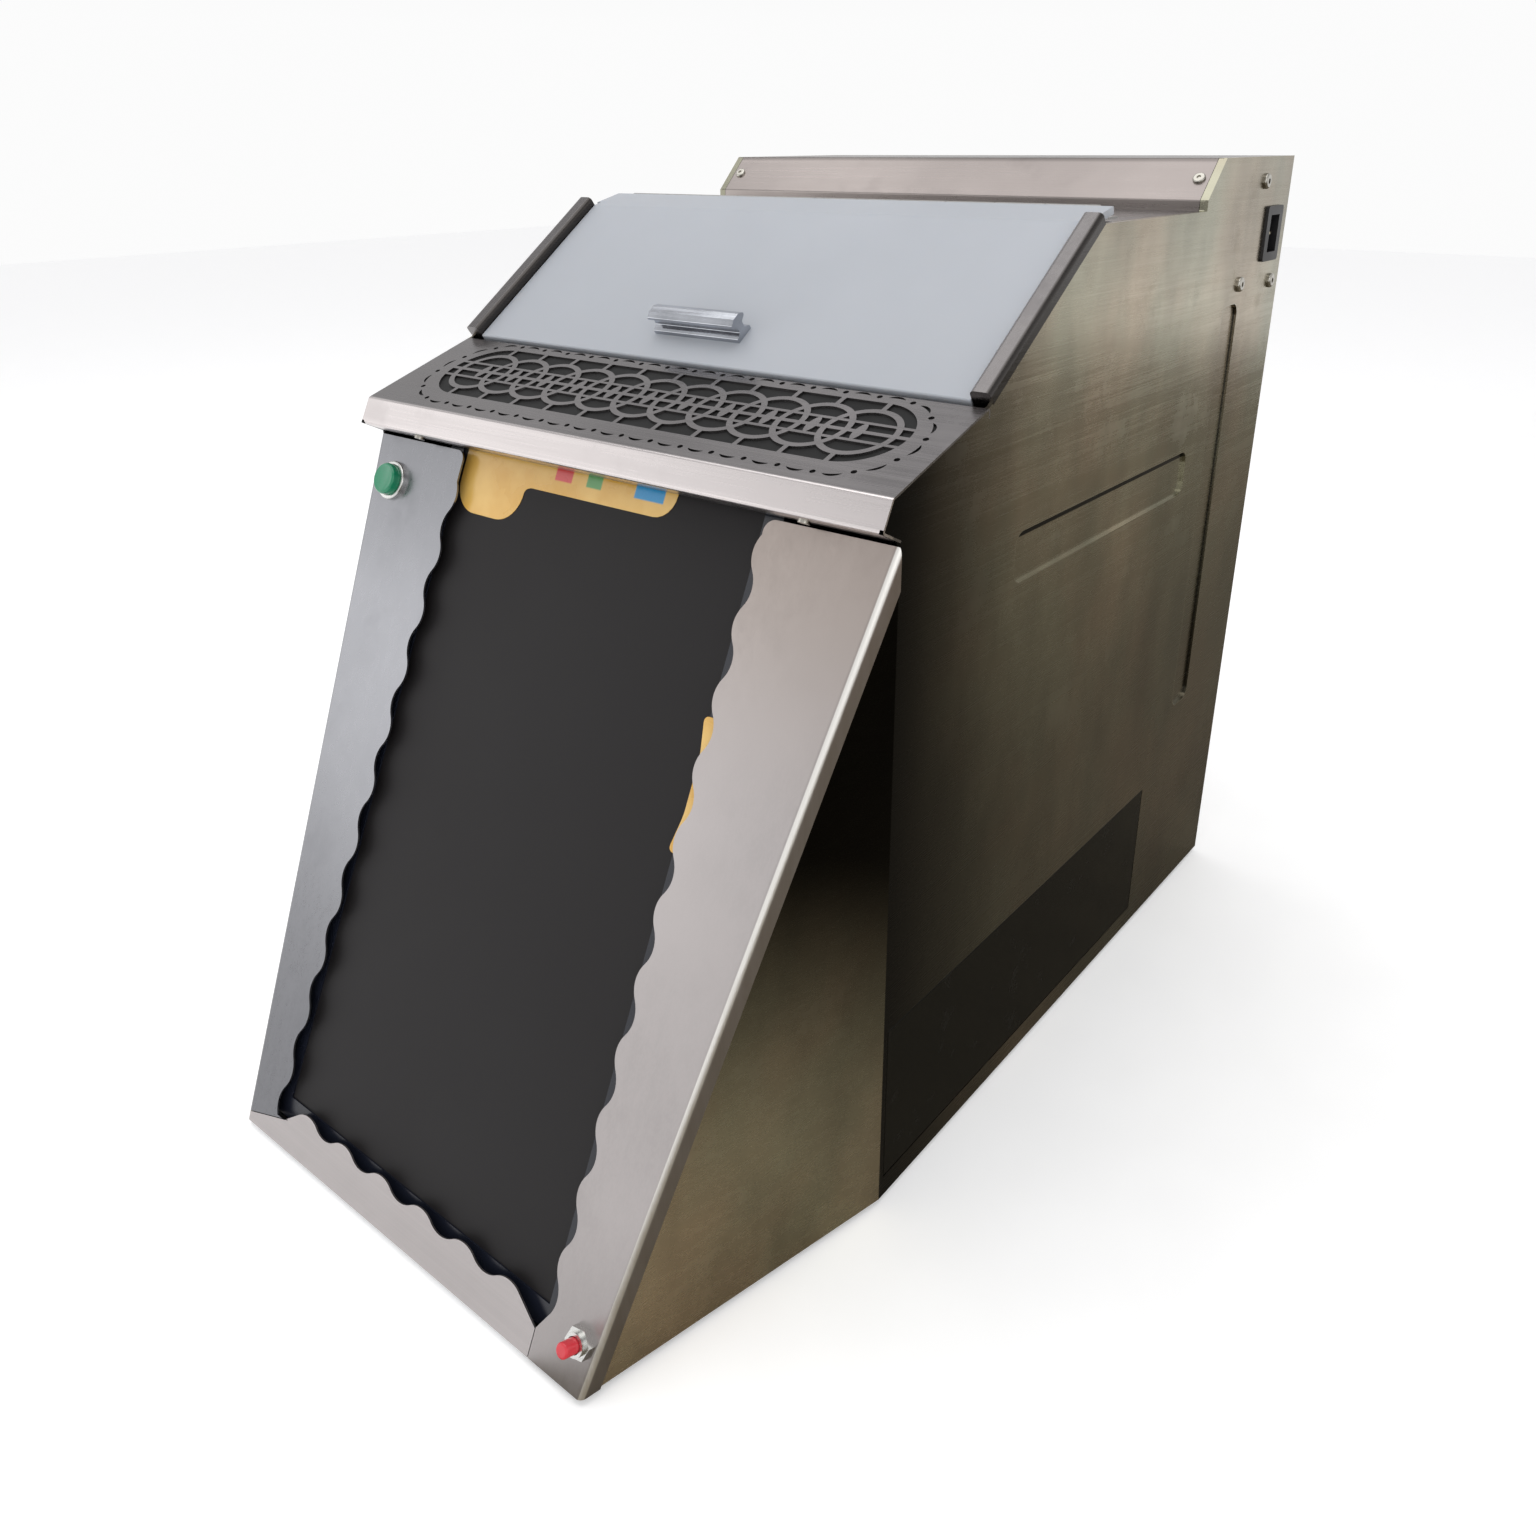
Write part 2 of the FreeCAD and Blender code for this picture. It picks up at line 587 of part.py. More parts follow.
def start_button():
    """22 mm push button: its ring, its dished cap and its switch body."""
    x, s = START_X, START_S
    ring = rounded_front(disc(x, s, 12.5, -3, 0), 1.2)
    sleeve = disc(x, s, START_HOLE_R, 0, 22)
    bezel = fuse([ring, sleeve]).cut(disc(x, s, START_CAP_R + GAP, -4, 23))
    cap = rounded_front(disc(x, s, START_CAP_R, -8.5, 6), 2.0)
    cap = cap.cut(Part.makeSphere(40.0, V(x, -47.4, s)))
    body = fuse([disc(x, s, START_HOLE_R, 22, 26), block(x - 10, x + 10, 26, 44, s - 9, s + 9)])
    return in_fascia(bezel), in_fascia(cap), in_fascia(body)


def stop_button():
    """12 mm push button: its nut and bushing, its long cap and its switch body."""
    x, s = STOP_X, STOP_S
    corner = NUT_WIDTH / math.sqrt(3)
    points = []
    for i in range(6):
        turn = math.radians(60 * i + NUT_TURN)
        points.append(V(x + corner * math.cos(turn), -4, s + corner * math.sin(turn)))
    nut = face_of(points).extrude(V(0, 4, 0))
    bushing = fuse([nut, disc(x, s, STOP_HOLE_R, -6.5, 14)]).cut(disc(x, s, STOP_CAP_R + 0.4, -8, 15))
    cap = rounded_front(disc(x, s, STOP_CAP_R, -15, 8), 1.2)
    body = block(x - 7, x + 7, 14, 30, s - 7, s + 7)
    return in_fascia(bushing), in_fascia(cap), in_fascia(body)


start_bezel, start_cap, start_body = start_button()
stop_bushing, stop_cap, stop_body = stop_button()
save("start_button_bezel", start_bezel)
save("start_button_cap", start_cap)
save("stop_button_bushing", stop_bushing)
save("stop_button_cap", stop_cap)
save("button_bodies", Part.makeCompound([start_body, stop_body]))


# ---- lid and its rails --------------------------------------------------------------------
PLUNGER_X, PLUNGER_V = 183.0, 34.0


def lid_rail():
    """Rail along the right slope: a round-topped cap outside and a ledge under the lid."""
    cap_x0, cap_x1, cap_w = 189.0, HALF_WIDTH + 1, 7.5
    wall = SIDE_IN - GAP
    section = [(178, -5.4), (wall, -5.4), (wall, 0), (cap_x1, 0), (cap_x1, cap_w), (cap_x0, cap_w),
               (cap_x0, -3.4), (178, -3.4)]
    rail = face_of([V(x, 1.4, w) for x, w in section]).extrude(V(0, SLOPE_LENGTH - 1.4, 0))
    top = [e for e in rail.Edges if e.Length > 100 and abs(e.CenterOfMass.z - cap_w) < 0.01]
    rail = rail.makeFillet(2.8, top)
    ledge_end = block(170, 188.9, SLOPE_LENGTH - 5, SLOPE_LENGTH + 1, -7, -2)
    return rail.cut(ledge_end).cut(rod((PLUNGER_X, PLUNGER_V, -6), (0, 0, 1), 1.9, 4))


save("lid_rails", pair(in_lid(lid_rail())))

HANDLE_X, HANDLE_V = -8.0, 27.0
HANDLE_HALF = 33.5
HANDLE_SCREW_DX = 22.0
lid_face = [lid_point(0.8, LID_PROUD), lid_point(SLOPE_LENGTH - 0.5, LID_PROUD), (CREST_Y, CREST_Z)]


def lid_panel():
    """Acrylic sheet bent near its rear edge, wider behind the bend."""
    under = offset_line(lid_face, -LID_T)
    shape = prism_x(lid_face + under[::-1], -LID_TOP_HALF, LID_TOP_HALF)
    between_rails = block(-LID_HALF, LID_HALF, -100, 100, 400, 600)
    behind_rails = block(-LID_TOP_HALF, LID_TOP_HALF, BROW_Y + 5, 100, 400, 600)
    shape = shape.common(fuse([between_rails, behind_rails]))
    shape = round_edges(shape, [lid_face[1]], 6.0)
    shape = round_edges(shape, [lid_face[0], lid_face[2]], 1.2)
    holes = []
    for dx in (-HANDLE_SCREW_DX, HANDLE_SCREW_DX):
        holes.append(in_lid(rod((HANDLE_X + dx, HANDLE_V, -6), (0, 0, 1), 2.0, 10)))
    return shape.cut(Part.makeCompound(holes))


save("lid_panel", lid_panel())


def lid_handle():
    """Spool-section bar: foot, web and a wider grip with a sloped top."""
    w0 = LID_PROUD
    half = [(6.5, 0), (6.5, 2.6), (2.6, 4.6), (2.6, 8.6), (6.2, 10.6), (6.2, 12.2), (2.6, 14.2)]
    section = half + [(-v, w) for v, w in half[::-1]]
    points = [V(HANDLE_X - HANDLE_HALF, HANDLE_V + v, w0 + w) for v, w in section]
    bar = face_of(points).extrude(V(2 * HANDLE_HALF, 0, 0))
    long_edges = [e for e in bar.Edges if e.Length > 60 and e.CenterOfMass.z > w0 + 1]
    bar = bar.makeFillet(0.6, long_edges)
    holes = []
    for dx in (-HANDLE_SCREW_DX, HANDLE_SCREW_DX):
        holes.append(rod((HANDLE_X + dx, HANDLE_V, w0 - 1), (0, 0, 1), 2.0, 9))
    return in_lid(bar.cut(Part.makeCompound(holes)))


def handle_screws():
    screws = []
    under = LID_PROUD - LID_T
    for dx in (-HANDLE_SCREW_DX, HANDLE_SCREW_DX):
        centre = (HANDLE_X + dx, HANDLE_V, under)
        screws.append(in_lid(button_head(centre, (0, 0, -1), 4.0, 2.0, 2.0, LID_T + 6)))
    return Part.makeCompound(screws)


save("lid_handle", lid_handle())
save("handle_screws", handle_screws())


def hinge():
    """Piano hinge: lid leaf under the acrylic, deck leaf on the deck, one long pin."""
    step = 2 * HINGE_HALF / KNUCKLES
    under = offset_line(lid_face, -LID_T)
    low, high = under[1], under[2]
    along = (high[0] - low[0], high[1] - low[1])
    lid_line = [(high[0] - along[0] * 0.5, high[1] - along[1] * 0.5), (high[0] + 0.6, high[1] + 0.14)]
    lid_leaf = [prism_x(lid_line + offset_line(lid_line, -1.0)[::-1], -HINGE_HALF, HINGE_HALF)]
    deck_leaf = [block(-HINGE_HALF, HINGE_HALF, HINGE_Y + 4.5, HINGE_Y + 25, DECK_Z, DECK_Z + 1)]
    for i in range(KNUCKLES):
        x0 = -HINGE_HALF + i * step + GAP / 2
        length = step - GAP
        knuckle = rod((x0, HINGE_Y, HINGE_Z), (1, 0, 0), KNUCKLE_R, length)
        if i % 2:
            link = prism_x([(HINGE_Y - 5.5, HINGE_Z - 1.8), (HINGE_Y, HINGE_Z - 2.6), (HINGE_Y, HINGE_Z),
                            (HINGE_Y - 5.5, HINGE_Z - 0.9)], x0, x0 + length)
            lid_leaf += [knuckle, link]
        else:
            web = block(x0, x0 + length, HINGE_Y + 1, HINGE_Y + 6, DECK_Z, HINGE_Z)
            deck_leaf += [knuckle, web]
    lid_hole = rod((-HALF_WIDTH, HINGE_Y, HINGE_Z), (1, 0, 0), HINGE_PIN_R + RUN_FIT, 2 * HALF_WIDTH)
    deck_hole = rod((-HALF_WIDTH, HINGE_Y, HINGE_Z), (1, 0, 0), HINGE_PIN_R, 2 * HALF_WIDTH)
    lid_shape = fuse(lid_leaf)
    room = []
    for i in range(0, KNUCKLES, 2):
        x0 = -HINGE_HALF + i * step - GAP
        room.append(rod((x0, HINGE_Y, HINGE_Z), (1, 0, 0), KNUCKLE_R + GAP, step + 2 * GAP))
    lid_shape = lid_shape.cut(Part.makeCompound(room))
    lid_shape = lid_shape.cut(lid_panel()).cut(lid_hole)
    deck_shape = fuse(deck_leaf).cut(deck_hole)
    pin = rod((-HINGE_HALF - 1.5, HINGE_Y, HINGE_Z), (1, 0, 0), HINGE_PIN_R, 2 * HINGE_HALF + 3)
    return lid_shape, deck_shape, pin


lid_leaf, deck_leaf, hinge_pin = hinge()
save("hinge_lid_leaf", lid_leaf)
save("hinge_deck_leaf", deck_leaf)
save("hinge_pin", hinge_pin)


# ---- deck, hood, back and base ------------------------------------------------------------
TOP_HALF = HALF_WIDTH - FLANGE_W - GAP
DECK_FRONT_Y = 62.0
deck_line = [(DECK_FRONT_Y, DECK_Z - 17), (DECK_FRONT_Y, DECK_Z), (200, DECK_Z)]
save("top_deck", folded_sheet(deck_line, -SHEET_T, -TOP_HALF, TOP_HALF))


def rear_hood():
    """Cover over the rear of the machine, sloping up from the deck."""
    line = [(HOOD_Y, DECK_Z), (HOOD_Y, HOOD_FOLD_Z), (HOOD_TOP_Y, HOOD_TOP_Z), (REAR_Y - SHEET_T, HOOD_TOP_Z)]
    hood = folded_sheet(line, -SHEET_T, -TOP_HALF, TOP_HALF)
    return hood.cut(Part.makeCompound([s[1] for s in hood_screw_places()]))


def hood_screw_places():
    """Centre on the hood's slope and the hole for each hood screw."""
    places = []
    for x in (-188.0, 188.0):
        centre = (x, (HOOD_Y + HOOD_TOP_Y) / 2, (HOOD_FOLD_Z + HOOD_TOP_Z) / 2)
        hole = rod(centre, (0, 1, -1), 2.0, 5)
        hole = hole.fuse(rod(centre, (0, -1, 1), 2.0, 2))
        places.append((centre, hole))
    return places


save("rear_hood", rear_hood())
VENT_ROWS, VENT_Z, VENT_PITCH, VENT_HEIGHT = 9, 330.0, 16.0, 5.0
VENT_X0, VENT_X1 = 35.0, 135.0


def back_panel():
    """Back of the cabinet with two columns of vent slots."""
    panel = block(-SIDE_IN, SIDE_IN, REAR_Y - SHEET_T, REAR_Y, BASE_Z, HOOD_TOP_Z)
    vents = []
    for row in range(VENT_ROWS):
        z = VENT_Z + row * VENT_PITCH
        vent = block(VENT_X0, VENT_X1, REAR_Y - 3, REAR_Y + 1, z, z + VENT_HEIGHT)
        vents += [vent, mirrored(vent)]
    return panel.cut(Part.makeCompound(vents))


save("back_panel", back_panel())


def base_plate():
    """Floor of the machine, tapered under the leaning front."""
    rear = block(-SIDE_IN, SIDE_IN, CREASE_Y, REAR_Y - SHEET_T, BASE_Z, BASE_Z + CHEEK_T)
    front = wedge(CHEEK_T, CHEEK_SETBACK).common(block(-220, 220, -400, CREASE_Y, BASE_Z, BASE_Z + CHEEK_T))
    return fuse([rear, front])


save("base_plate", base_plate())
FLOOR_Z = BASE_Z + CHEEK_T

FRONT_REACH = 3.15          # how far the stop button stands in front of the toe
FOOT_PLACES = ((170, 315), (170, -110), (118, -312))


def feet():
    """Six feet, and four bumpers on the back that reach as far as the stop button does in front."""
    rubbers = []
    for x, y in FOOT_PLACES:
        foot = Part.makeCone(12.0, 14.0, FOOT_HEIGHT, V(x, y, 0))
        rubbers += [foot, mirrored(foot)]
    for z in (60, 500):
        bumper = rod((160, REAR_Y, z), (0, 1, 0), 9.0, FRONT_REACH)
        rubbers += [bumper, mirrored(bumper)]
    return Part.makeCompound(rubbers)


save("rubber_feet", feet())


def panel_screws():
    """Screws of the side panels and the hood, and two under the header's lip."""
    screws = []
    for y, z in SIDE_SCREWS:
        screw = button_head((HALF_WIDTH, y, z), (1, 0, 0), 5.0, 2.5, PANEL_SCREW_R, 6.0)
        screws += [screw, mirrored(screw)]
    for centre, _ in hood_screw_places():
        screws.append(button_head(centre, (0, -1, 1), 4.0, 1.8, 2.0, 4.0))
    run = (CREASE_Y + 0.4 - LIP_LOW_Y, FASCIA_TOP_Z + GAP - LIP_LOW_Z)
    for x in (-150.0, 150.0):
        middle = (x, LIP_LOW_Y + run[0] * 0.5, LIP_LOW_Z + run[1] * 0.5)
        screws.append(rod(middle, (0, run[1], -run[0]), 3.2, 1.6))
    return Part.makeCompound(screws)


save("panel_screws", panel_screws())


def power_inlet():
    """Three-pin appliance inlet; the socket is open to the right."""
    y0, y1, z0, z1 = INLET
    middle_y, middle_z = (y0 + y1) / 2, (z0 + z1) / 2
    flange = block(HALF_WIDTH, HALF_WIDTH + 2, y0, y1, z0, z1)
    flange = flange.makeFillet(2.5, edges_along(flange, "x"))
    body_x = HALF_WIDTH - 24
    body = block(body_x, HALF_WIDTH, y0 + 2, y1 - 2, z0 + 2, z1 - 2)
    floor_x = HALF_WIDTH - 17
    socket = block(floor_x, HALF_WIDTH + 3, middle_y - 8.5, middle_y + 8.5, middle_z - 12.3, middle_z + 12.3)
    contacts = []
    for dy, dz in ((-3.0, 7.0), (3.0, 0.0), (-3.0, -7.0)):
        y, z = middle_y + dy, middle_z + dz
        contacts.append(block(floor_x, HALF_WIDTH - 1, y - 2, y + 2, z - 1, z + 1))
        contacts.append(block(body_x - 8, body_x, y - 0.4, y + 0.4, z - 3, z + 3))
    return fuse([fuse([flange, body]).cut(socket)] + contacts)


save("power_inlet", power_inlet())


# ---- crushing chamber ---------------------------------------------------------------------
def chamber_liner():
    """Side wall of the chamber and the hopper above it, slotted for the ram's ear."""
    outline = [(ANVIL_Y, CHAMBER_Z0), (BULKHEAD_Y, CHAMBER_Z0), (BULKHEAD_Y, CHAMBER_Z1), (61.8, CHAMBER_Z1),
               (61.8, 530), (43.5, 530), (-68, 453.4), (-68, 446), (ANVIL_Y, 446)]
    liner = prism_x(outline, LINER_IN, LINER_IN + LINER_T)
    slot = block(LINER_IN - 1, LINER_IN + 3, -55, 120, SCREW_Z - 10, SCREW_Z + 10)
    return liner.cut(slot)


save("chamber_liners", pair(chamber_liner()))


def anvil_plate():
    """Fixed plate that the ram presses against, with ears that hold the guide rods."""
    plate = block(-LINER_IN - LINER_T, LINER_IN + LINER_T, ANVIL_Y - 5, ANVIL_Y, 120, 446)
    ears = block(-196, 196, ANVIL_Y - 5, ANVIL_Y, SCREW_Z - 16, SCREW_Z + 16)
    holes = [rod((side * ROD_X, ANVIL_Y - 6, SCREW_Z), (0, 1, 0), ROD_R, 8) for side in (-1, 1)]
    return fuse([plate, ears]).cut(Part.makeCompound(holes))


save("anvil_plate", anvil_plate())
HOPPER_Y = DECK_FRONT_Y + 2 * SHEET_T
hopper_line = [(BULKHEAD_Y, CHAMBER_Z1 + SHEET_T), (HOPPER_Y, CHAMBER_Z1 + SHEET_T), (HOPPER_Y, 530)]
save("hopper_back", folded_sheet(hopper_line, SHEET_T, -LINER_IN + GAP, LINER_IN - GAP))


def bulkhead():
    """Wall between the chamber and the electrics; it carries the drive and the guide rods."""
    wall = block(-196.5, 196.5, BULKHEAD_Y, BULKHEAD_Y + 2, FLOOR_Z, 533)
    holes = [rod((side * ROD_X, BULKHEAD_Y - 1, SCREW_Z), (0, 1, 0), ROD_R, 5) for side in (-1, 1)]
    holes.append(rod((0, BULKHEAD_Y - 1, SCREW_Z), (0, 1, 0), SCREW_R + 0.5, 5))
    holes.append(rod((0, BULKHEAD_Y - 1, MOTOR_Z), (0, 1, 0), SHAFT_R + 0.5, 5))
    return wall.cut(Part.makeCompound(holes))


save("bulkhead", bulkhead())
ROD_LENGTH = BULKHEAD_Y + 2 - ANVIL_Y + 5
save("guide_rods", pair(rod((ROD_X, ANVIL_Y - 5, SCREW_Z), (0, 1, 0), ROD_R, ROD_LENGTH)))


# ---- ram and its drive --------------------------------------------------------------------
def ram_plate():
    """Face that presses the waste, with ribs on its back."""
    plate = block(-RAM_HALF, RAM_HALF, RAM_Y, RAM_Y + 3, RAM_Z0, RAM_Z1)
    ribs = []
    for x in (-120, -60, 60, 120):
        ribs.append(block(x - 1.5, x + 1.5, RAM_Y + 3, RAM_Y + 22, RAM_Z0 + 20, SCREW_Z - 12))
    ribs.append(block(-RAM_HALF + 4, RAM_HALF - 4, RAM_Y + 3, RAM_Y + 6, RAM_Z0 + 4, RAM_Z1 - 4))
    return fuse([plate] + ribs)


BEAM_Y0, BEAM_Y1 = RAM_Y + 6, RAM_Y + 22
TUBE_R, TUBE_BORE = 14.0, 10.5
NUT_Y0, NUT_Y1 = 205.0, 225.0


def ram_carriage():
    """Beam behind the ram plate, with a bushed ear on each guide rod."""
    beam = block(-176, 176, BEAM_Y0, BEAM_Y1, SCREW_Z - 8, SCREW_Z + 8)
    boss = rod((0, BEAM_Y0, SCREW_Z), (0, 1, 0), 20.0, BEAM_Y1 - BEAM_Y0)
    ear = block(175, 196.2, BEAM_Y0, BEAM_Y1 + 12, SCREW_Z - 10.5, SCREW_Z + 10.5)
    holes = [rod((x, BEAM_Y0 - 1, SCREW_Z), (0, 1, 0), BUSH_R, 40) for x in (-ROD_X, ROD_X)]
    holes.append(rod((0, BEAM_Y0 - 1, SCREW_Z), (0, 1, 0), TUBE_BORE, 40))
    return fuse([beam, boss, ear, mirrored(ear)]).cut(Part.makeCompound(holes))


save("ram_plate", ram_plate())
save("ram_carriage", ram_carriage())
ram_bush = tube((ROD_X, BEAM_Y0 - 2, SCREW_Z), (0, 1, 0), BUSH_R, ROD_R + RUN_FIT, 32)
save("ram_bushes", pair(ram_bush))
save("push_tube", tube((0, BEAM_Y1, SCREW_Z), (0, 1, 0), TUBE_R, TUBE_BORE, NUT_Y0 - BEAM_Y1))
save("lead_nut", tube((0, NUT_Y0, SCREW_Z), (0, 1, 0), 16.0, SCREW_R + RUN_FIT, NUT_Y1 - NUT_Y0))
SCREW_Y0 = RAM_Y + 12
save("lead_screw", rod((0, SCREW_Y0, SCREW_Z), (0, 1, 0), SCREW_R, PULLEY_Y1 - SCREW_Y0))


def thrust_block():
    """Bearing block of the lead screw, on the bulkhead."""
    body = block(-24, 24, NUT_Y1 + 1, BULKHEAD_Y, SCREW_Z - 24, SCREW_Z + 24)
    body = body.makeFillet(5.0, edges_along(body, "y"))
    return body.cut(rod((0, NUT_Y1, SCREW_Z), (0, 1, 0), SCREW_R + RUN_FIT, 20))


save("thrust_block", thrust_block())


def pulley(z, radius, bore):
    """Flanged timing pulley with a toothed rim."""
    width = PULLEY_Y1 - PULLEY_Y0
    wheel = rod((0, PULLEY_Y0, z), (0, 1, 0), radius, width)
    rim = 1.5
    flanges = [rod((0, y, z), (0, 1, 0), radius + 2.2, rim) for y in (PULLEY_Y0, PULLEY_Y1 - rim)]
    count = int(2 * math.pi * radius / BELT_PITCH)
    grooves = []
    for i in range(count):
        turn = 2 * math.pi * i / count
        place = (radius * math.cos(turn), PULLEY_Y0 + rim, z + radius * math.sin(turn))
        grooves.append(rod(place, (0, 1, 0), 1.0, width - 2 * rim))
    wheel = wheel.cut(Part.makeCompound(grooves))
    wheel = fuse([wheel] + flanges)
    return wheel.cut(rod((0, PULLEY_Y0 - 1, z), (0, 1, 0), bore, width + 2))


def belt_loop(extra, y0, y1):
    """Solid bounded by the belt's path at the given distance outside the pulleys."""
    big, small = BIG_PULLEY_R + extra, SMALL_PULLEY_R + extra
    lift = (small - big) / (SCREW_Z - MOTOR_Z)
    level = math.sqrt(1 - lift * lift)
    points = []
    for radius, z, side in ((big, SCREW_Z, 1), (small, MOTOR_Z, 1), (small, MOTOR_Z, -1), (big, SCREW_Z, -1)):
        points.append(V(side * radius * level, y0, z + radius * lift))
    web = face_of(points).extrude(V(0, y1 - y0, 0))
    ends = [rod((0, y0, z), (0, 1, 0), r, y1 - y0) for r, z in ((big, SCREW_Z), (small, MOTOR_Z))]
    return fuse([web] + ends)


def motor_pulley():
    """Small pulley and the motor's shaft that carries it."""
    start_y = BULKHEAD_Y - 18
    shaft = rod((0, start_y, MOTOR_Z), (0, 1, 0), SHAFT_R, PULLEY_Y1 - start_y)
    return Part.makeCompound([pulley(MOTOR_Z, SMALL_PULLEY_R, SHAFT_R), shaft])


def drive_belt():
    y0, y1 = PULLEY_Y0 + 2, PULLEY_Y1 - 2
    return belt_loop(GAP + BELT_T, y0, y1).cut(belt_loop(GAP, y0 - 1, y1 + 1))


save("screw_pulley", pulley(SCREW_Z, BIG_PULLEY_R, SCREW_R))
save("motor_pulley", motor_pulley())
save("drive_belt", drive_belt())


def drive_motor():
    """Geared motor behind the chamber, its shaft through the bulkhead."""
    gearbox = rod((0, 196, MOTOR_Z), (0, 1, 0), MOTOR_R, BULKHEAD_Y - 196)
    can = rod((0, 128, MOTOR_Z), (0, 1, 0), MOTOR_R - 4, 68)
    tail = rod((0, 120, MOTOR_Z), (0, 1, 0), 9.0, 8)
    bore = rod((0, BULKHEAD_Y - 20, MOTOR_Z), (0, 1, 0), SHAFT_R + RUN_FIT, 25)
    return fuse([gearbox, can, tail]).cut(bore)


save("drive_motor", drive_motor())


# ---- drop gate ----------------------------------------------------------------------------
save("drop_gate", block(-GATE_HALF, GATE_HALF, GATE_Y0, GATE_Y1, GATE_Z0, GATE_Z1))
GUIDE_TOP = GATE_Z0 - GAP


save("gate_guides", pair(block(148, 163, ANVIL_Y, BULKHEAD_Y, GUIDE_TOP - 4, GUIDE_TOP)))


def gate_rack():
    """Rack along the gate's left edge; a tooth gap faces the pinion at rest."""
    pitch = math.pi * RACK_MODULE
    root_x = RACK_PITCH_X + ROOT_SHARE * RACK_MODULE
    tip_x = RACK_PITCH_X - TIP_SHARE * RACK_MODULE
    half_root, half_tip = 0.30 * pitch, 0.12 * pitch
    points = [(-GATE_HALF, GATE_Y0), (root_x, GATE_Y0)]
    first = math.ceil((GATE_Y0 + 2 - PINION_Y) / pitch)
    last = math.floor((GATE_Y1 - 2 - PINION_Y) / pitch)
    for i in range(first, last):
        y = PINION_Y + (i + 0.5) * pitch
        points += [(root_x, y - half_root), (tip_x, y - half_tip)]
        points += [(tip_x, y + half_tip), (root_x, y + half_root)]
    points += [(root_x, GATE_Y1), (-GATE_HALF, GATE_Y1)]
    return prism_z(points, GATE_Z0, GATE_Z1)


save("gate_rack", gate_rack())


def gate_pinion():
    """Pinion on its stub shaft; one tooth points at the rack at rest."""
    root, tip = PINION_R - ROOT_SHARE * RACK_MODULE, PINION_R + TIP_SHARE * RACK_MODULE
    pitch_angle = 2 * math.pi / PINION_TEETH
    right_flank = [(tip, 0.09), (PINION_R, 0.20), (root, 0.27)]
    left_flank = [(radius, -share) for radius, share in right_flank[::-1]]
    points = []
    for i in range(PINION_TEETH):
        for radius, share in left_flank + right_flank:
            turn = (i + share) * pitch_angle
            points.append((PINION_X + radius * math.cos(turn), PINION_Y + radius * math.sin(turn)))
    wheel = prism_z(points, GATE_Z0 - 1, GATE_Z1 + 1)
    stub = rod((PINION_X, PINION_Y, GATE_Z1 + 1), (0, 0, 1), STUB_R, 12)
    return wheel.fuse(stub).removeSplitter()


save("gate_pinion", gate_pinion())


def gate_motor():
    """Small geared motor on the chamber's left wall, over the pinion."""
    x0, x1 = -185.0, -LINER_IN - LINER_T
    gearbox = block(x0, x1, PINION_Y - 5, PINION_Y + 5, 141, 151)
    can = block(x0 + 1, x1, PINION_Y - 6, PINION_Y + 6, 151, 172)
    return fuse([gearbox, can]).cut(rod((PINION_X, PINION_Y, 140), (0, 0, 1), STUB_R + RUN_FIT, 9.5))


save("gate_motor", gate_motor())


# ---- waste drawer -------------------------------------------------------------------------
def drawer_bin():
    """Open-topped steel bin."""
    outer = block(DRAWER_X0, DRAWER_X1, DRAWER_Y0, DRAWER_Y1, DRAWER_Z0, DRAWER_Z1)
    t = DRAWER_T
    inner = block(DRAWER_X0 + t, DRAWER_X1 - t, DRAWER_Y0 + t, DRAWER_Y1 - t, DRAWER_Z0 + t, DRAWER_Z1 + 1)
    return outer.cut(inner)


def drawer_front():
    """Black panel on the bin's right end, flush with the side of the machine."""
    y0, y1, z0, z1 = DRAWER_HOLE
    front = block(DRAWER_X1, HALF_WIDTH, y0 + GAP, y1 - GAP, z0 + GAP, z1 - GAP)
    return front.makeFillet(0.8, [e for e in front.Edges if e.CenterOfMass.x > HALF_WIDTH - 0.01])


save("drawer_bin", drawer_bin())
save("drawer_front", drawer_front())


def drawer_runners():
    """Angles on the base, each with a ledge under one long edge of the bin."""
    runners = []
    for edge, out in ((DRAWER_Y0, -1), (DRAWER_Y1, 1)):
        inner, outer = edge + out * 3.5, edge + out * 5.0
        ledge = edge - out * 10.0
        top, under = DRAWER_Z0 - 0.4, DRAWER_Z0 - 2
        outline = [(outer, FLOOR_Z), (outer, 60), (inner, 60), (inner, top), (ledge, top), (ledge, under),
                   (inner, under), (inner, FLOOR_Z)]
        runners.append(prism_x(outline, DRAWER_X0, 190))
    return Part.makeCompound(runners)


save("drawer_runners", drawer_runners())


# ---- electrics ----------------------------------------------------------------------------
BOARD_PARTS = ((66, 340, 26, 40, 16), (104, 345, 18, 18, 3), (132, 330, 14, 50, 20), (104, 380, 40, 12, 10))


def control_board():
    """Circuit board on four pillars behind the bulkhead, with its larger components."""
    wall_y = BULKHEAD_Y + 2
    board_y = wall_y + 8
    front_y = board_y + 1.6
    parts = [block(50, 170, board_y, front_y, 290, 410)]
    for x in (56, 164):
        for z in (296, 404):
            parts.append(rod((x, wall_y, z), (0, 1, 0), 3.0, 8))
    for x, z, width, height, depth in BOARD_PARTS:
        parts.append(block(x, x + width, front_y, front_y + depth, z, z + height))
    return Part.makeCompound(parts)


save("control_board", control_board())


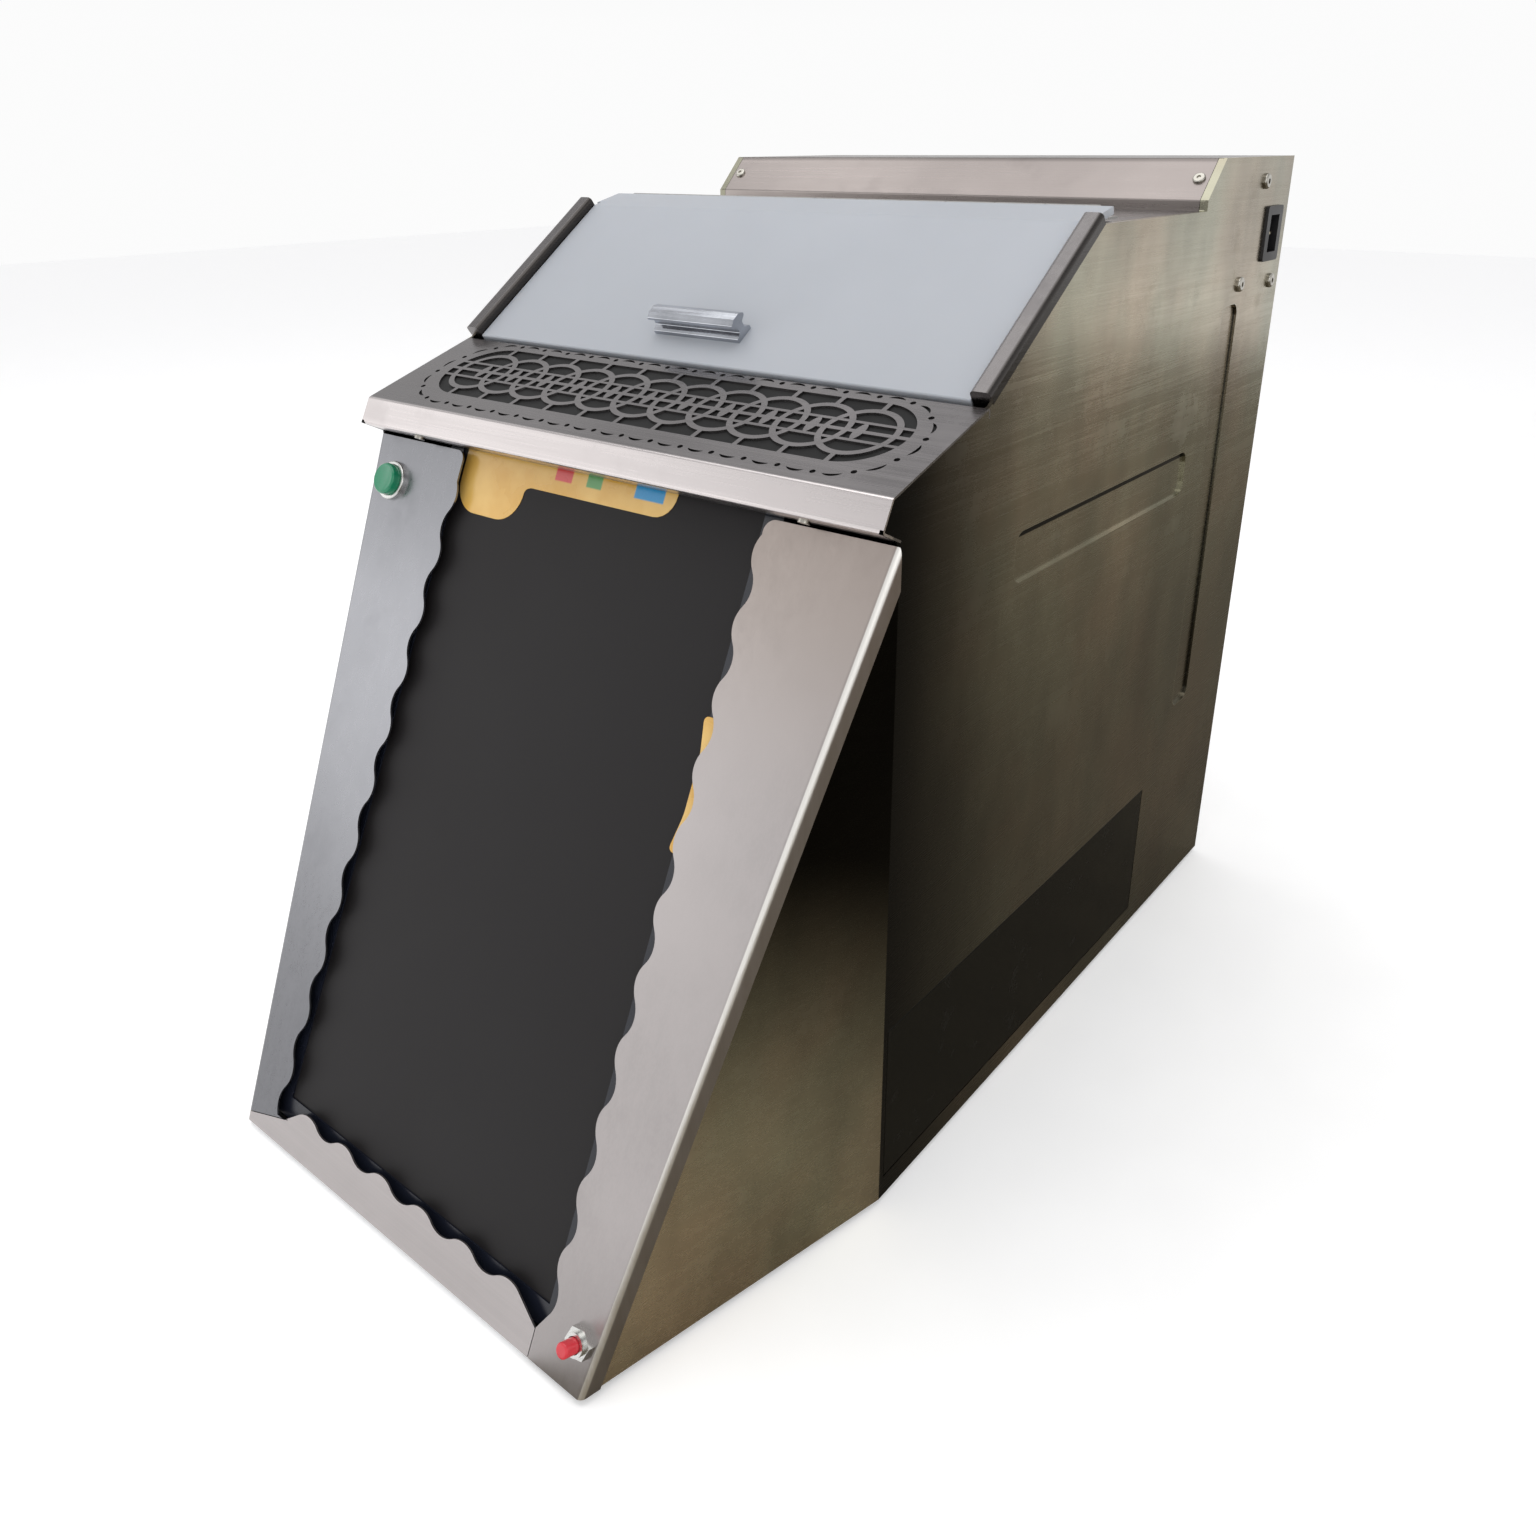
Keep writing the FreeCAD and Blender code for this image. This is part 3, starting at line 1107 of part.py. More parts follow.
def power_supply():
    """Slotted case on the floor behind the bulkhead, with its terminal strip."""
    case = block(-175, -65, 252, 338, FLOOR_Z, FLOOR_Z + 48)
    slots = [block(-165 + i * 9, -161 + i * 9, 262, 328, FLOOR_Z + 46.5, FLOOR_Z + 49) for i in range(11)]
    terminal = block(-65, -57, 262, 322, FLOOR_Z + 4, FLOOR_Z + 20)
    return fuse([case.cut(Part.makeCompound(slots)), terminal])


save("power_supply", power_supply())


def limit_switches():
    """Micro switches: one feels the lid through its ledge, one stops the ram at rest."""
    lid_box = block(PLUNGER_X - 4, SIDE_IN - 2, PLUNGER_V - 10, PLUNGER_V + 10, -18, -5.4)
    plunger = rod((PLUNGER_X, PLUNGER_V, -5.4), (0, 0, 1), 1.5, 2.1)
    ram_box = block(26, 46, BULKHEAD_Y - 10, BULKHEAD_Y, SCREW_Z - 6, SCREW_Z + 6)
    lever = block(27, 28, BULKHEAD_Y - 16, BULKHEAD_Y - 10, SCREW_Z - 2, SCREW_Z + 2)
    return Part.makeCompound([in_lid(fuse([lid_box, plunger])), fuse([ram_box, lever])])


save("limit_switches", limit_switches())
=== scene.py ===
"""Looks of the bench-top trash compactor: finishes for its sheet metal, lid, monitor, buttons and
mechanism, the small pieces that are modelled here, and a plain studio. Laid out as an add-on."""

import math

import bmesh
import bpy
from bpy.props import FloatProperty, FloatVectorProperty, PointerProperty
from bpy.types import Operator, Panel, PropertyGroup
from mathutils import Matrix, Vector


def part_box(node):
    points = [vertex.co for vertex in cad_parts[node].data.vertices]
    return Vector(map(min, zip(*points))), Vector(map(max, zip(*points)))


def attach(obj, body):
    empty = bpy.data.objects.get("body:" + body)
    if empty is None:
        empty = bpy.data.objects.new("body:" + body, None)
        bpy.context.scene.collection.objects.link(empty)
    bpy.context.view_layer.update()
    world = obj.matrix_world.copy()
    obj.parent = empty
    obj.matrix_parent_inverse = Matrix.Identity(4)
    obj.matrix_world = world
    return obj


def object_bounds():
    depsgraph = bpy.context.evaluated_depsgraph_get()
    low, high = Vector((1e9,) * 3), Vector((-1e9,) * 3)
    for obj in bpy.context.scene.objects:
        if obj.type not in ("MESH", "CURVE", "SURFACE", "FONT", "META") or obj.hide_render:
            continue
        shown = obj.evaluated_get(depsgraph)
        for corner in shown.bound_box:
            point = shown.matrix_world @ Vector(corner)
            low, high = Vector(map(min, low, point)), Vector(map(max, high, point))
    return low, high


bl_info = {
    "name": "Trash Compactor Looks",
    "version": (1, 0, 0),
    "blender": (4, 5, 0),
    "location": "View3D > Sidebar > Compactor",
    "description": "Finishes, labels and studio for the bench-top trash compactor",
    "category": "Object",
}

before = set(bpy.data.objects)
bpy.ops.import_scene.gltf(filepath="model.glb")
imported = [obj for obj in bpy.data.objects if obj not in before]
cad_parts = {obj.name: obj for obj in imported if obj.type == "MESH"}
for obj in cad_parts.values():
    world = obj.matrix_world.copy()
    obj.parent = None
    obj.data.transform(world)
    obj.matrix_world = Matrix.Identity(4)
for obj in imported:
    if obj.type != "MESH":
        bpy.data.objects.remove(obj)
cad_low, cad_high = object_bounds()
TOE_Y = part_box("fascia_bottom")[0].y
BASE_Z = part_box("base_plate")[0].z
cheek_low, cheek_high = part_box("cheek_right")
CREASE_Y = cheek_high.y
LEAN = math.atan2(cheek_high.y - cheek_low.y, cheek_high.z - cheek_low.z)
LID_SLOPE = math.radians(35.2)
# y span, z span, axis of the edge with the painted shadow and the width of that shadow
LEVEL_SLOT = ((-0.035, 0.2045), (0.354, 0.3835), "Z", 0.0036)
REAR_SLOT = ((0.2395, 0.2678), (0.178, 0.4743), "Y", 0.0018)
SLOT_RADIUS = 0.008
LIP_DEPTH = 0.0075              # header's folded lip, back from its front edge
CHEEK_TILT = 0.45               # the cheek's painted shade deepens up a line that leans this much
CHEEK_REACH = 0.33              # where the painted shade is darkest, along that line from the toe
CHEEK_FADE = 0.25
BOARD_T = 0.0096                # bare board, below its components
TOP_LABEL_DEPTH = 0.0068        # both labels: how far they lie behind the front
SIDE_LABEL_DEPTH = 0.0057
LABEL_INSET = 0.0060            # top label, in from the edge of the screen
SIDE_LABEL_FOOT = 0.270
SIDE_LABEL_EDGES = (0.0155, 0.003)      # in from the right edge of the bezel
BLADE = (0.015, 0.004, 0.002)
BLADE_PLACES = ((-0.003, 0.007), (0.003, 0.0), (-0.003, -0.007))
BLADE_SINK = 0.003
CAMERA_PLACE = (0.4917, -0.6054, 0.5785)
CAMERA_YAW, CAMERA_PITCH, CAMERA_ROLL = math.radians(38.62), math.radians(22.60), math.radians(-0.41)
CAMERA_LENS = 28.59
CAMERA_SHIFT = (-0.0070, -0.0769)


# ---- sizes and colours a user would change ------------------------------------------------
def colour(name, description, default):
    return FloatVectorProperty(name=name, description=description, subtype="COLOR", size=3, min=0, max=1,
                               default=default)


def length(name, description, default):
    return FloatProperty(name=name, description=description, default=default, min=0, subtype="DISTANCE",
                         unit="LENGTH")


class CompactorFinishes(PropertyGroup):
    cover: colour("Cabinet steel", "Brushed sheet of the sides, deck and back", (0.33, 0.30, 0.235))
    front: colour("Front steel", "Brushed strips round the monitor", (0.43, 0.40, 0.395))
    header: colour("Header steel", "Fretwork header cover and rear hood", (0.26, 0.245, 0.245))
    rail: colour("Rail steel", "Lid rails, hinge and chamber liners", (0.064, 0.059, 0.056))
    acrylic: colour("Lid acrylic", "Frosted sheet of the lid", (0.41, 0.43, 0.465))
    screen: colour("Screen", "Picture area, switched off", (0.014, 0.0125, 0.013))
    bezel: colour("Bezel", "Moulded frame round the screen", (0.010, 0.012, 0.020))
    start: colour("Start button", "Cap of the start button", (0.0, 0.22, 0.10))
    stop: colour("Stop button", "Cap of the stop button", (0.60, 0.025, 0.04))
    drawer: colour("Drawer front", "Glossy front of the waste drawer", (0.006, 0.0055, 0.004))
    label: colour("Label film", "Gold film left on the monitor", (0.66, 0.36, 0.05))
    label_rim: colour("Label rim", "Paler rim of the film", (0.78, 0.50, 0.14))
    zinc: colour("Zinc plate", "Hidden brackets and bulkhead", (0.55, 0.56, 0.58))
    bronze: colour("Bronze", "Bushes and lead nut", (0.50, 0.30, 0.12))
    rubber: colour("Rubber", "Feet, bumpers and belt", (0.018, 0.018, 0.018))


class CompactorSizes(PropertyGroup):
    film: length("Film thickness", "Thickness of the label film", 0.0002)
    label_top: length("Label top", "Top edge of the label, up the slope from the toe", 0.453)
    strip_height: length("Label height", "Height of the label's strip", 0.019)
    strip_width: length("Label width", "Width of the label under the header", 0.1755)
    lobe_width: length("Lobe width", "Width of the label's rounded tab", 0.058)
    lobe_drop: length("Lobe drop", "How far the tab hangs below the strip", 0.023)
    side_label: length("Side label", "Height of the label on the bezel's right side", 0.072)
    blade_grow: length("Blade cover", "How far the metal blades stand over the moulded pins", 0.0002)
    floor_width: length("Floor", "Width of the studio floor", 14.0)


# ---- selection and mesh helpers -----------------------------------------------------------
def only(obj):
    bpy.ops.object.select_all(action="DESELECT")
    obj.select_set(True)
    bpy.context.view_layer.objects.active = obj


def choose(obj, kind, test):
    """In edit mode, select just the verts, edges or faces whose middle passes the test."""
    mesh = bmesh.from_edit_mesh(obj.data)
    for items in (mesh.verts, mesh.edges, mesh.faces):
        for item in items:
            item.select = False
    bpy.ops.mesh.select_mode(type={"verts": "VERT", "edges": "EDGE", "faces": "FACE"}[kind])
    mesh = bmesh.from_edit_mesh(obj.data)
    for item in getattr(mesh, kind):
        if kind == "verts":
            middle = item.co
        elif kind == "edges":
            middle = (item.verts[0].co + item.verts[1].co) / 2
        else:
            middle = item.calc_center_median()
        if test(middle):
            item.select_set(True)
    bmesh.update_edit_mesh(obj.data)


def apply_modifier(obj, kind, **settings):
    only(obj)
    modifier = obj.modifiers.new(kind.title(), kind)
    for key, value in settings.items():
        setattr(modifier, key, value)
    bpy.ops.object.modifier_apply(modifier=modifier.name)


def place(obj, matrix):
    """Move the piece to its place and put the place into its mesh."""
    only(obj)
    obj.matrix_world = matrix @ obj.matrix_world
    bpy.context.view_layer.update()
    bpy.ops.object.transform_apply(location=True, rotation=True, scale=True)


def front_place(depth):
    """Matrix from (x, up the slope, towards the user) to the machine, at a depth behind the front."""
    turn = Matrix.Rotation(math.pi / 2 - LEAN, 4, "X")
    inward = Vector((0, math.cos(LEAN), -math.sin(LEAN))) * depth
    return Matrix.Translation(Vector((0, TOE_Y, BASE_Z)) + inward) @ turn


def new_plane(name, x0, x1, y0, y1):
    bpy.ops.object.select_all(action="DESELECT")
    middle = ((x0 + x1) / 2, (y0 + y1) / 2, 0)
    bpy.ops.mesh.primitive_plane_add(size=1, location=middle)
    plane = bpy.context.object
    plane.name = name
    plane.scale = (x1 - x0, y1 - y0, 1)
    bpy.ops.object.transform_apply(location=True, rotation=True, scale=True)
    return plane


# ---- material helpers ---------------------------------------------------------------------
class Finish:
    """One node material under construction."""

    def __init__(self, name, metallic=0.0, **sockets):
        self.material = bpy.data.materials.new(name)
        self.material.use_nodes = True
        self.tree = self.material.node_tree
        self.shader = self.tree.nodes["Principled BSDF"]
        self.shader.inputs["Metallic"].default_value = metallic
        for socket, value in sockets.items():
            self.shader.inputs[socket.replace("_", " ")].default_value = value
        self.coords = self.tree.nodes.new("ShaderNodeTexCoord").outputs["Object"]

    def node(self, kind, settings=(), **inputs):
        made = self.tree.nodes.new("ShaderNode" + kind)
        for key, value in dict(settings).items():
            setattr(made, key, value)
        for name, value in inputs.items():
            self.set(made.inputs[name.replace("_", " ")], value)
        return made

    def set(self, socket, value):
        if isinstance(value, bpy.types.NodeSocket):
            self.tree.links.new(value, socket)
        else:
            socket.default_value = value

    def mapped(self, scale=(1, 1, 1), turn=(0, 0, 0), shift=(0, 0, 0)):
        made = self.node("Mapping", Vector=self.coords, Scale=scale, Rotation=turn, Location=shift)
        return made.outputs["Vector"]

    def noise(self, vector, scale, detail=3.0, rough=0.55):
        made = self.node("TexNoise", Vector=vector, Scale=scale, Detail=detail, Roughness=rough)
        return made.outputs["Fac"]

    def spread(self, value, low, high, to_low=0.0, to_high=1.0, smooth=True):
        kind = "SMOOTHSTEP" if smooth else "LINEAR"
        made = self.node("MapRange", {"interpolation_type": kind, "clamp": True}, Value=value)
        self.set(made.inputs["From Min"], low)
        self.set(made.inputs["From Max"], high)
        self.set(made.inputs["To Min"], to_low)
        self.set(made.inputs["To Max"], to_high)
        return made.outputs["Result"]

    def maths(self, operation, a, b):
        made = self.node("Math", {"operation": operation})
        self.set(made.inputs[0], a)
        self.set(made.inputs[1], b)
        return made.outputs["Value"]

    def blend(self, factor, a, b, mode="MIX"):
        made = self.node("Mix", {"data_type": "RGBA", "blend_type": mode})
        self.set(made.inputs[0], factor)
        self.set(made.inputs[6], a if isinstance(a, bpy.types.NodeSocket) else (*a, 1))
        self.set(made.inputs[7], b if isinstance(b, bpy.types.NodeSocket) else (*b, 1))
        return made.outputs[2]

    def axis(self, name, vector=None):
        split = self.node("SeparateXYZ", Vector=vector or self.coords)
        return split.outputs[name]

    def bump(self, height, strength, distance, normal=None):
        made = self.node("Bump", Height=height, Strength=strength, Distance=distance)
        if normal:
            self.set(made.inputs["Normal"], normal)
        return made.outputs["Normal"]

    def shade(self, level):
        """Multiply the tone by a grey level."""
        grey = self.node("CombineXYZ", X=level, Y=level, Z=level).outputs["Vector"]
        self.tone = self.blend(1.0, self.tone, grey, mode="MULTIPLY")

    def use(self, **links):
        for name, value in links.items():
            if name == "Base_Color" and not isinstance(value, bpy.types.NodeSocket):
                value = (*value, 1)
            self.set(self.shader.inputs[name.replace("_", " ")], value)
        return self


def dimmed(tint, factor):
    return tuple(channel * factor for channel in tint)


GRAINS = {
    "across": (6, 420, 420),        # brushed along X
    "deep": (420, 6, 420),          # brushed along Y
    "upright": (420, 420, 6),       # brushed along Z, or up a slope once turned
}


def steel(name, tint, grain, rough=0.30, turn=(0, 0, 0), grain_depth=0.00004, stain=0.16, streak=0.4):
    """Brushed sheet: fine and coarse grain, wiped patches and finger marks."""
    finish = Finish(name, metallic=1.0)
    fine = finish.noise(finish.mapped(GRAINS[grain], turn), 2.2, 3.0, 0.6)
    coarse_scale = tuple(value * 0.22 for value in GRAINS[grain])
    coarse = finish.noise(finish.mapped(coarse_scale, turn, (0.3, 0.7, 0.1)), 2.0, 2.0)
    patch = finish.noise(finish.mapped((1, 1, 1), (0.2, 0.5, 0.1)), 5.5, 4.0, 0.6)
    marks = finish.noise(finish.mapped((1, 1, 1), (0.9, 0.1, 0.6)), 21.0, 5.0, 0.65)
    streaks = finish.maths("ADD", finish.maths("MULTIPLY", fine, 0.55),
                           finish.maths("MULTIPLY", coarse, 0.45))
    dull, clean = dimmed(tint, 1 - stain), dimmed(tint, 1 + stain * 0.5)
    tone = finish.blend(finish.spread(patch, 0.32, 0.70), dull, clean)
    tone = finish.blend(finish.spread(streaks, 0.35, 0.65, 0.0, streak), tone, dimmed(tint, 1.12))
    rough_now = finish.maths("ADD", finish.spread(streaks, 0.3, 0.7, rough - 0.05, rough + 0.06),
                             finish.spread(marks, 0.52, 0.72, 0.0, 0.10))
    finish.use(Base_Color=tone, Roughness=rough_now, Normal=finish.bump(streaks, 0.5, grain_depth))
    finish.tone, finish.rough = tone, rough_now
    return finish


def moulded(name, tint, rough=0.4, grain_depth=0.00006, speck=0.10, **sockets):
    """Moulded plastic, rubber or paint with a fine texture and faint unevenness."""
    finish = Finish(name, **sockets)
    fine = finish.noise(finish.mapped(), 900.0, 2.0, 0.6)
    broad = finish.noise(finish.mapped((1, 1, 1), (0.4, 0.2, 0.8)), 18.0, 3.0)
    tone = finish.blend(finish.spread(broad, 0.3, 0.7), dimmed(tint, 1 - speck), dimmed(tint, 1 + speck))
    rough_now = finish.spread(broad, 0.3, 0.7, rough - 0.04, rough + 0.06)
    return finish.use(Base_Color=tone, Roughness=rough_now, Normal=finish.bump(fine, 0.35, grain_depth))


def machined(name, tint, rough=0.2, rings=(700, 700, 700), metallic=1.0):
    """Turned or ground metal with fine tool marks and a little oil staining."""
    finish = Finish(name, metallic=metallic)
    tool = finish.noise(finish.mapped(rings), 1.5, 2.0)
    oil = finish.noise(finish.mapped((1, 1, 1), (0.3, 0.9, 0.2)), 30.0, 4.0)
    tone = finish.blend(finish.spread(oil, 0.35, 0.75), tint, dimmed(tint, 0.72))
    rough_now = finish.spread(tool, 0.3, 0.7, rough - 0.05, rough + 0.08)
    return finish.use(Base_Color=tone, Roughness=rough_now, Normal=finish.bump(tool, 0.3, 0.00003))


def wear(finish, *names):
    """Give the finish to the named CAD nodes."""
    for name in names:
        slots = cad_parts[name].data.materials
        slots.clear()
        slots.append(finish.material)


def finish_piece(obj, finish, body):
    obj.data.materials.clear()
    obj.data.materials.append(finish.material)
    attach(obj, body)


# ---- one operator for each group of pieces ------------------------------------------------
class COMPACTOR_OT_cabinet(Operator):
    """Finish the side panels, cheeks, deck, back and screws"""
    bl_idname = "compactor.cabinet"
    bl_label = "Cabinet Steel"

    def execute(self, context):
        look = context.scene.compactor_finishes
        tint = tuple(look.cover)
        side = steel("cabinet_steel", tint, "deep", rough=0.25, grain_depth=0.00002, stain=0.12, streak=0.15)
        self.smudge(side)
        height = side.axis("Z")
        depth = side.axis("Y")
        # Painted light and shade on the side sheet: lighter higher up, painted shade beside the crease, and
        # dimmer towards the rear and the top edge.
        painted_height_light = side.spread(height, 0.20, 0.46, 0.70, 1.80)
        shade = side.spread(depth, CREASE_Y - 0.01, CREASE_Y + 0.18, 0.0, 1.0)
        painted_rear_top_shade = side.maths("MULTIPLY", side.spread(depth, 0.10, 0.32, 1.0, 0.80, smooth=False),
                          side.spread(height, 0.46, 0.54, 1.0, 0.62))
        level = side.maths("MULTIPLY", side.maths("MULTIPLY", painted_height_light, shade), painted_rear_top_shade)
        side.shade(level)
        for slot in (LEVEL_SLOT, REAR_SLOT):
            self.mark_slot(side, slot)
        side.use(Base_Color=side.tone)
        wear(side, "side_panel_right", "side_panel_left", "slot_blanks")

        cheek = steel("cheek_steel", tint, "deep", rough=0.25, grain_depth=0.00002, stain=0.12, streak=0.15)
        self.smudge(cheek)
        # Painted light and shade on the cheek: brighter towards the toe and the bottom, painted shade to near
        # black towards the top and the crease.
        reach = cheek.maths("MULTIPLY_ADD", cheek.axis("Y"), CHEEK_TILT)
        cheek.set(reach.node.inputs[2], cheek.axis("Z"))
        painted_shade_line = CHEEK_TILT * TOE_Y + CHEEK_REACH
        cheek.shade(cheek.spread(reach, painted_shade_line - CHEEK_FADE, painted_shade_line, 2.3, 0.02))
        cheek.use(Base_Color=cheek.tone)
        wear(cheek, "cheek_right", "cheek_left")

        wear(steel("back_steel", dimmed(tint, 0.9), "across", rough=0.30), "back_panel")
        wear(steel("deck_steel", dimmed(tuple(look.header), 0.62), "across", rough=0.25), "top_deck")
        wear(machined("screw_steel", (0.50, 0.48, 0.43), 0.22), "panel_screws", "handle_screws", "hinge_pin")
        wear(moulded("foot_rubber", tuple(look.rubber), 0.7), "rubber_feet")
        return {"FINISHED"}

    def smudge(self, finish):
        """Soft upright smears, olive and brown, as a cloth and hands leave on the sheet."""
        broad = finish.noise(finish.mapped((1, 9, 4), (0.1, 0, 0), (0, 0.31, 0.17)), 1.6, 4.0, 0.6)
        warm = finish.noise(finish.mapped((1, 6, 5), (0, 0, 0), (0, 0.83, 0.52)), 1.3, 3.0)
        tone = finish.blend(finish.spread(warm, 0.35, 0.65), (0.94, 1.0, 0.98), (1.04, 0.97, 0.94))
        finish.tone = finish.blend(1.0, finish.tone, tone, mode="MULTIPLY")
        finish.shade(finish.spread(broad, 0.30, 0.70, 0.78, 1.14))

    def mark_slot(self, finish, slot):
        """Painted highlight as a bright rim round a slot, and a painted shadow along its top or rear edge."""
        (y0, y1), (z0, z1), shadow_axis, shadow_width = slot
        dy = finish.maths("SUBTRACT", finish.axis("Y"), (y0 + y1) / 2)
        dz = finish.maths("SUBTRACT", finish.axis("Z"), (z0 + z1) / 2)
        dy = finish.maths("SUBTRACT", finish.maths("ABSOLUTE", dy, 0.0), (y1 - y0) / 2 - SLOT_RADIUS)
        dz = finish.maths("SUBTRACT", finish.maths("ABSOLUTE", dz, 0.0), (z1 - z0) / 2 - SLOT_RADIUS)
        over_y, over_z = finish.maths("MAXIMUM", dy, 0.0), finish.maths("MAXIMUM", dz, 0.0)
        over = finish.node("CombineXYZ", Y=over_y, Z=over_z)
        corner = finish.node("VectorMath", {"operation": "LENGTH"})
        finish.set(corner.inputs[0], over.outputs["Vector"])
        within = finish.maths("MINIMUM", finish.maths("MAXIMUM", dy, dz), 0.0)
        away = finish.maths("SUBTRACT", finish.maths("ADD", corner.outputs["Value"], within), SLOT_RADIUS)
        # Painted highlight round the slot's outline.
        rim = finish.maths("MULTIPLY", finish.spread(away, -0.0002, 0.0001),
                           finish.spread(away, 0.0003, 0.0009, 1, 0))
        finish.tone = finish.blend(finish.maths("MULTIPLY", rim, 0.65), finish.tone, (0.42, 0.40, 0.32))
        # Painted shadow just inside the slot's top or rear edge.
        edge = {"Y": y1, "Z": z1}[shadow_axis]
        near = finish.spread(finish.axis(shadow_axis), edge - shadow_width - 0.0004, edge - shadow_width)
        painted_edge_shadow = finish.maths("MULTIPLY", near, finish.spread(away, -0.0001, 0.0001, 1.0, 0.0))
        finish.tone = finish.blend(painted_edge_shadow, finish.tone, (0.002, 0.002, 0.002))


class COMPACTOR_OT_front(Operator):
    """Finish the scalloped strips of the leaning front"""
    bl_idname = "compactor.front"
    bl_label = "Front Strips"

    def execute(self, context):
        tint = tuple(context.scene.compactor_finishes.front)
        slope = (LEAN, 0, 0)
        right = steel("front_right_steel", tint, "upright", rough=0.34, turn=slope, stain=0.10)
        right.shade(right.spread(right.axis("Z"), 0.01, 0.10, 0.85, 1.0))
        warm = right.spread(right.axis("Z"), 0.26, 0.41)
        right.tone = right.blend(warm, right.tone, (tint[0] * 0.86, tint[1] * 0.80, tint[2] * 0.74))
        # Painted highlight along the rounded fold at the strip's right edge.
        outward = right.axis("X", right.node("TexCoord").outputs["Normal"])
        painted_fold_highlight = right.maths("MULTIPLY", right.spread(outward, 0.15, 0.35),
                           right.spread(outward, 0.80, 0.93, 1.0, 0.0))
        right.tone = right.blend(painted_fold_highlight, right.tone, (0.88, 0.86, 0.82))
        right.use(Base_Color=right.tone)
        wear(right, "fascia_right")
        # Painted shade: the left strip is a darker, bluer copy of the front steel, darkened further towards
        # its bottom and its top.
        shaded_left_tint = (tint[0] * 0.74, tint[1] * 0.80, tint[2] * 0.86)
        left = steel("front_left_steel", shaded_left_tint, "upright", rough=0.30, turn=slope, stain=0.14)
        left.shade(left.spread(left.axis("Z"), 0.02, 0.28, 0.62, 1.0))
        left.shade(left.spread(left.axis("Z"), 0.30, 0.40, 1.0, 0.76))
        left.use(Base_Color=left.tone)
        wear(left, "fascia_left")
        foot = steel("front_bottom_steel", dimmed(tint, 1.02), "across", rough=0.33, stain=0.10)
        wear(foot, "fascia_bottom")
        return {"FINISHED"}


class COMPACTOR_OT_header(Operator):
    """Finish the fretwork header cover, its backing and the rear hood"""
    bl_idname = "compactor.header"
    bl_label = "Header And Hood"

    def execute(self, context):
        look = context.scene.compactor_finishes
        tint = tuple(look.header)
        header = steel("header_steel", tint, "across", rough=0.27, stain=0.16)
        front_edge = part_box("header_cover")[0].y
        lip_end = front_edge + LIP_DEPTH
        # Painted highlight on the folded lip at the front edge.
        lip = header.spread(header.axis("Y"), lip_end, lip_end + 0.0015, 1.0, 0.0)
        header.shade(header.spread(header.axis("X"), -0.20, 0.20, 0.82, 1.0))
        bright = header.blend(lip, header.tone, dimmed(tuple(look.front), 1.45))
        header.use(Base_Color=bright)
        wear(header, "header_cover")
        hood_tint = (tint[0] * 1.04, tint[1] * 0.98, tint[2] * 0.93)
        hood = steel("hood_steel", hood_tint, "across", rough=0.30, stain=0.16)
        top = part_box("rear_hood")[1].z
        # Painted shade on the flat top of the hood and painted light towards its left end.
        hood.shade(hood.spread(hood.axis("Z"), top - 0.003, top - 0.001, 1.0, 0.62))
        hood.shade(hood.spread(hood.axis("X"), -0.20, 0.10, 1.25, 1.0))
        hood.use(Base_Color=hood.tone)
        wear(hood, "rear_hood")
        wear(moulded("backing_black", (0.007, 0.007, 0.007), 0.5, Specular_IOR_Level=0.18), "badge_backing")
        return {"FINISHED"}


class COMPACTOR_OT_lid(Operator):
    """Finish the frosted lid, its handle, rails and hinge"""
    bl_idname = "compactor.lid"
    bl_label = "Lid"

    def execute(self, context):
        look = context.scene.compactor_finishes
        tint = tuple(look.acrylic)
        lid = Finish("frosted_acrylic", IOR=1.49)
        lid.shader.inputs["Subsurface Weight"].default_value = 0.25
        lid.shader.inputs["Subsurface Radius"].default_value = (0.004, 0.005, 0.006)
        frost = lid.noise(lid.mapped(), 1400.0, 2.0, 0.6)
        cloud = lid.noise(lid.mapped((1, 1, 1), (0.3, 0.1, 0.5)), 7.0, 3.0)
        low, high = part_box("lid_panel")
        # Painted light: the sheet is a little lighter towards its top.
        painted_upward_light = lid.spread(lid.axis("Z"), low.z, high.z, 0.0, 1.0, smooth=False)
        tone = lid.blend(painted_upward_light, dimmed(tint, 0.97), dimmed(tint, 1.04))
        tone = lid.blend(lid.spread(cloud, 0.3, 0.7, 0.0, 0.35), tone, dimmed(tint, 0.90))
        lid.use(Base_Color=tone, Roughness=lid.spread(cloud, 0.3, 0.7, 0.42, 0.52),
                Normal=lid.bump(frost, 0.25, 0.00004))
        wear(lid, "lid_panel")
        wear(machined("handle_chrome", (0.52, 0.54, 0.58), 0.12, (8, 600, 600)), "lid_handle")
        slope = (-LID_SLOPE, 0, 0)
        rail = steel("rail_steel", tuple(look.rail), "deep", rough=0.26, turn=slope, stain=0.18)
        outward = rail.axis("X", rail.node("TexCoord").outputs["Normal"])
        # Painted highlight: the rail's inner and upper sides are lighter, and the outward side keeps the dark
        # rail tint.
        painted_lit_side = rail.spread(outward, -0.35, 0.45, 1.0, 0.0)
        rail.tone = rail.blend(painted_lit_side, rail.tone, dimmed(tuple(look.header), 0.95))
        rail.use(Base_Color=rail.tone)
        wear(rail, "lid_rails")
        hinge = steel("hinge_steel", (0.45, 0.44, 0.42), "across", rough=0.28)
        wear(hinge, "hinge_lid_leaf", "hinge_deck_leaf")
        return {"FINISHED"}


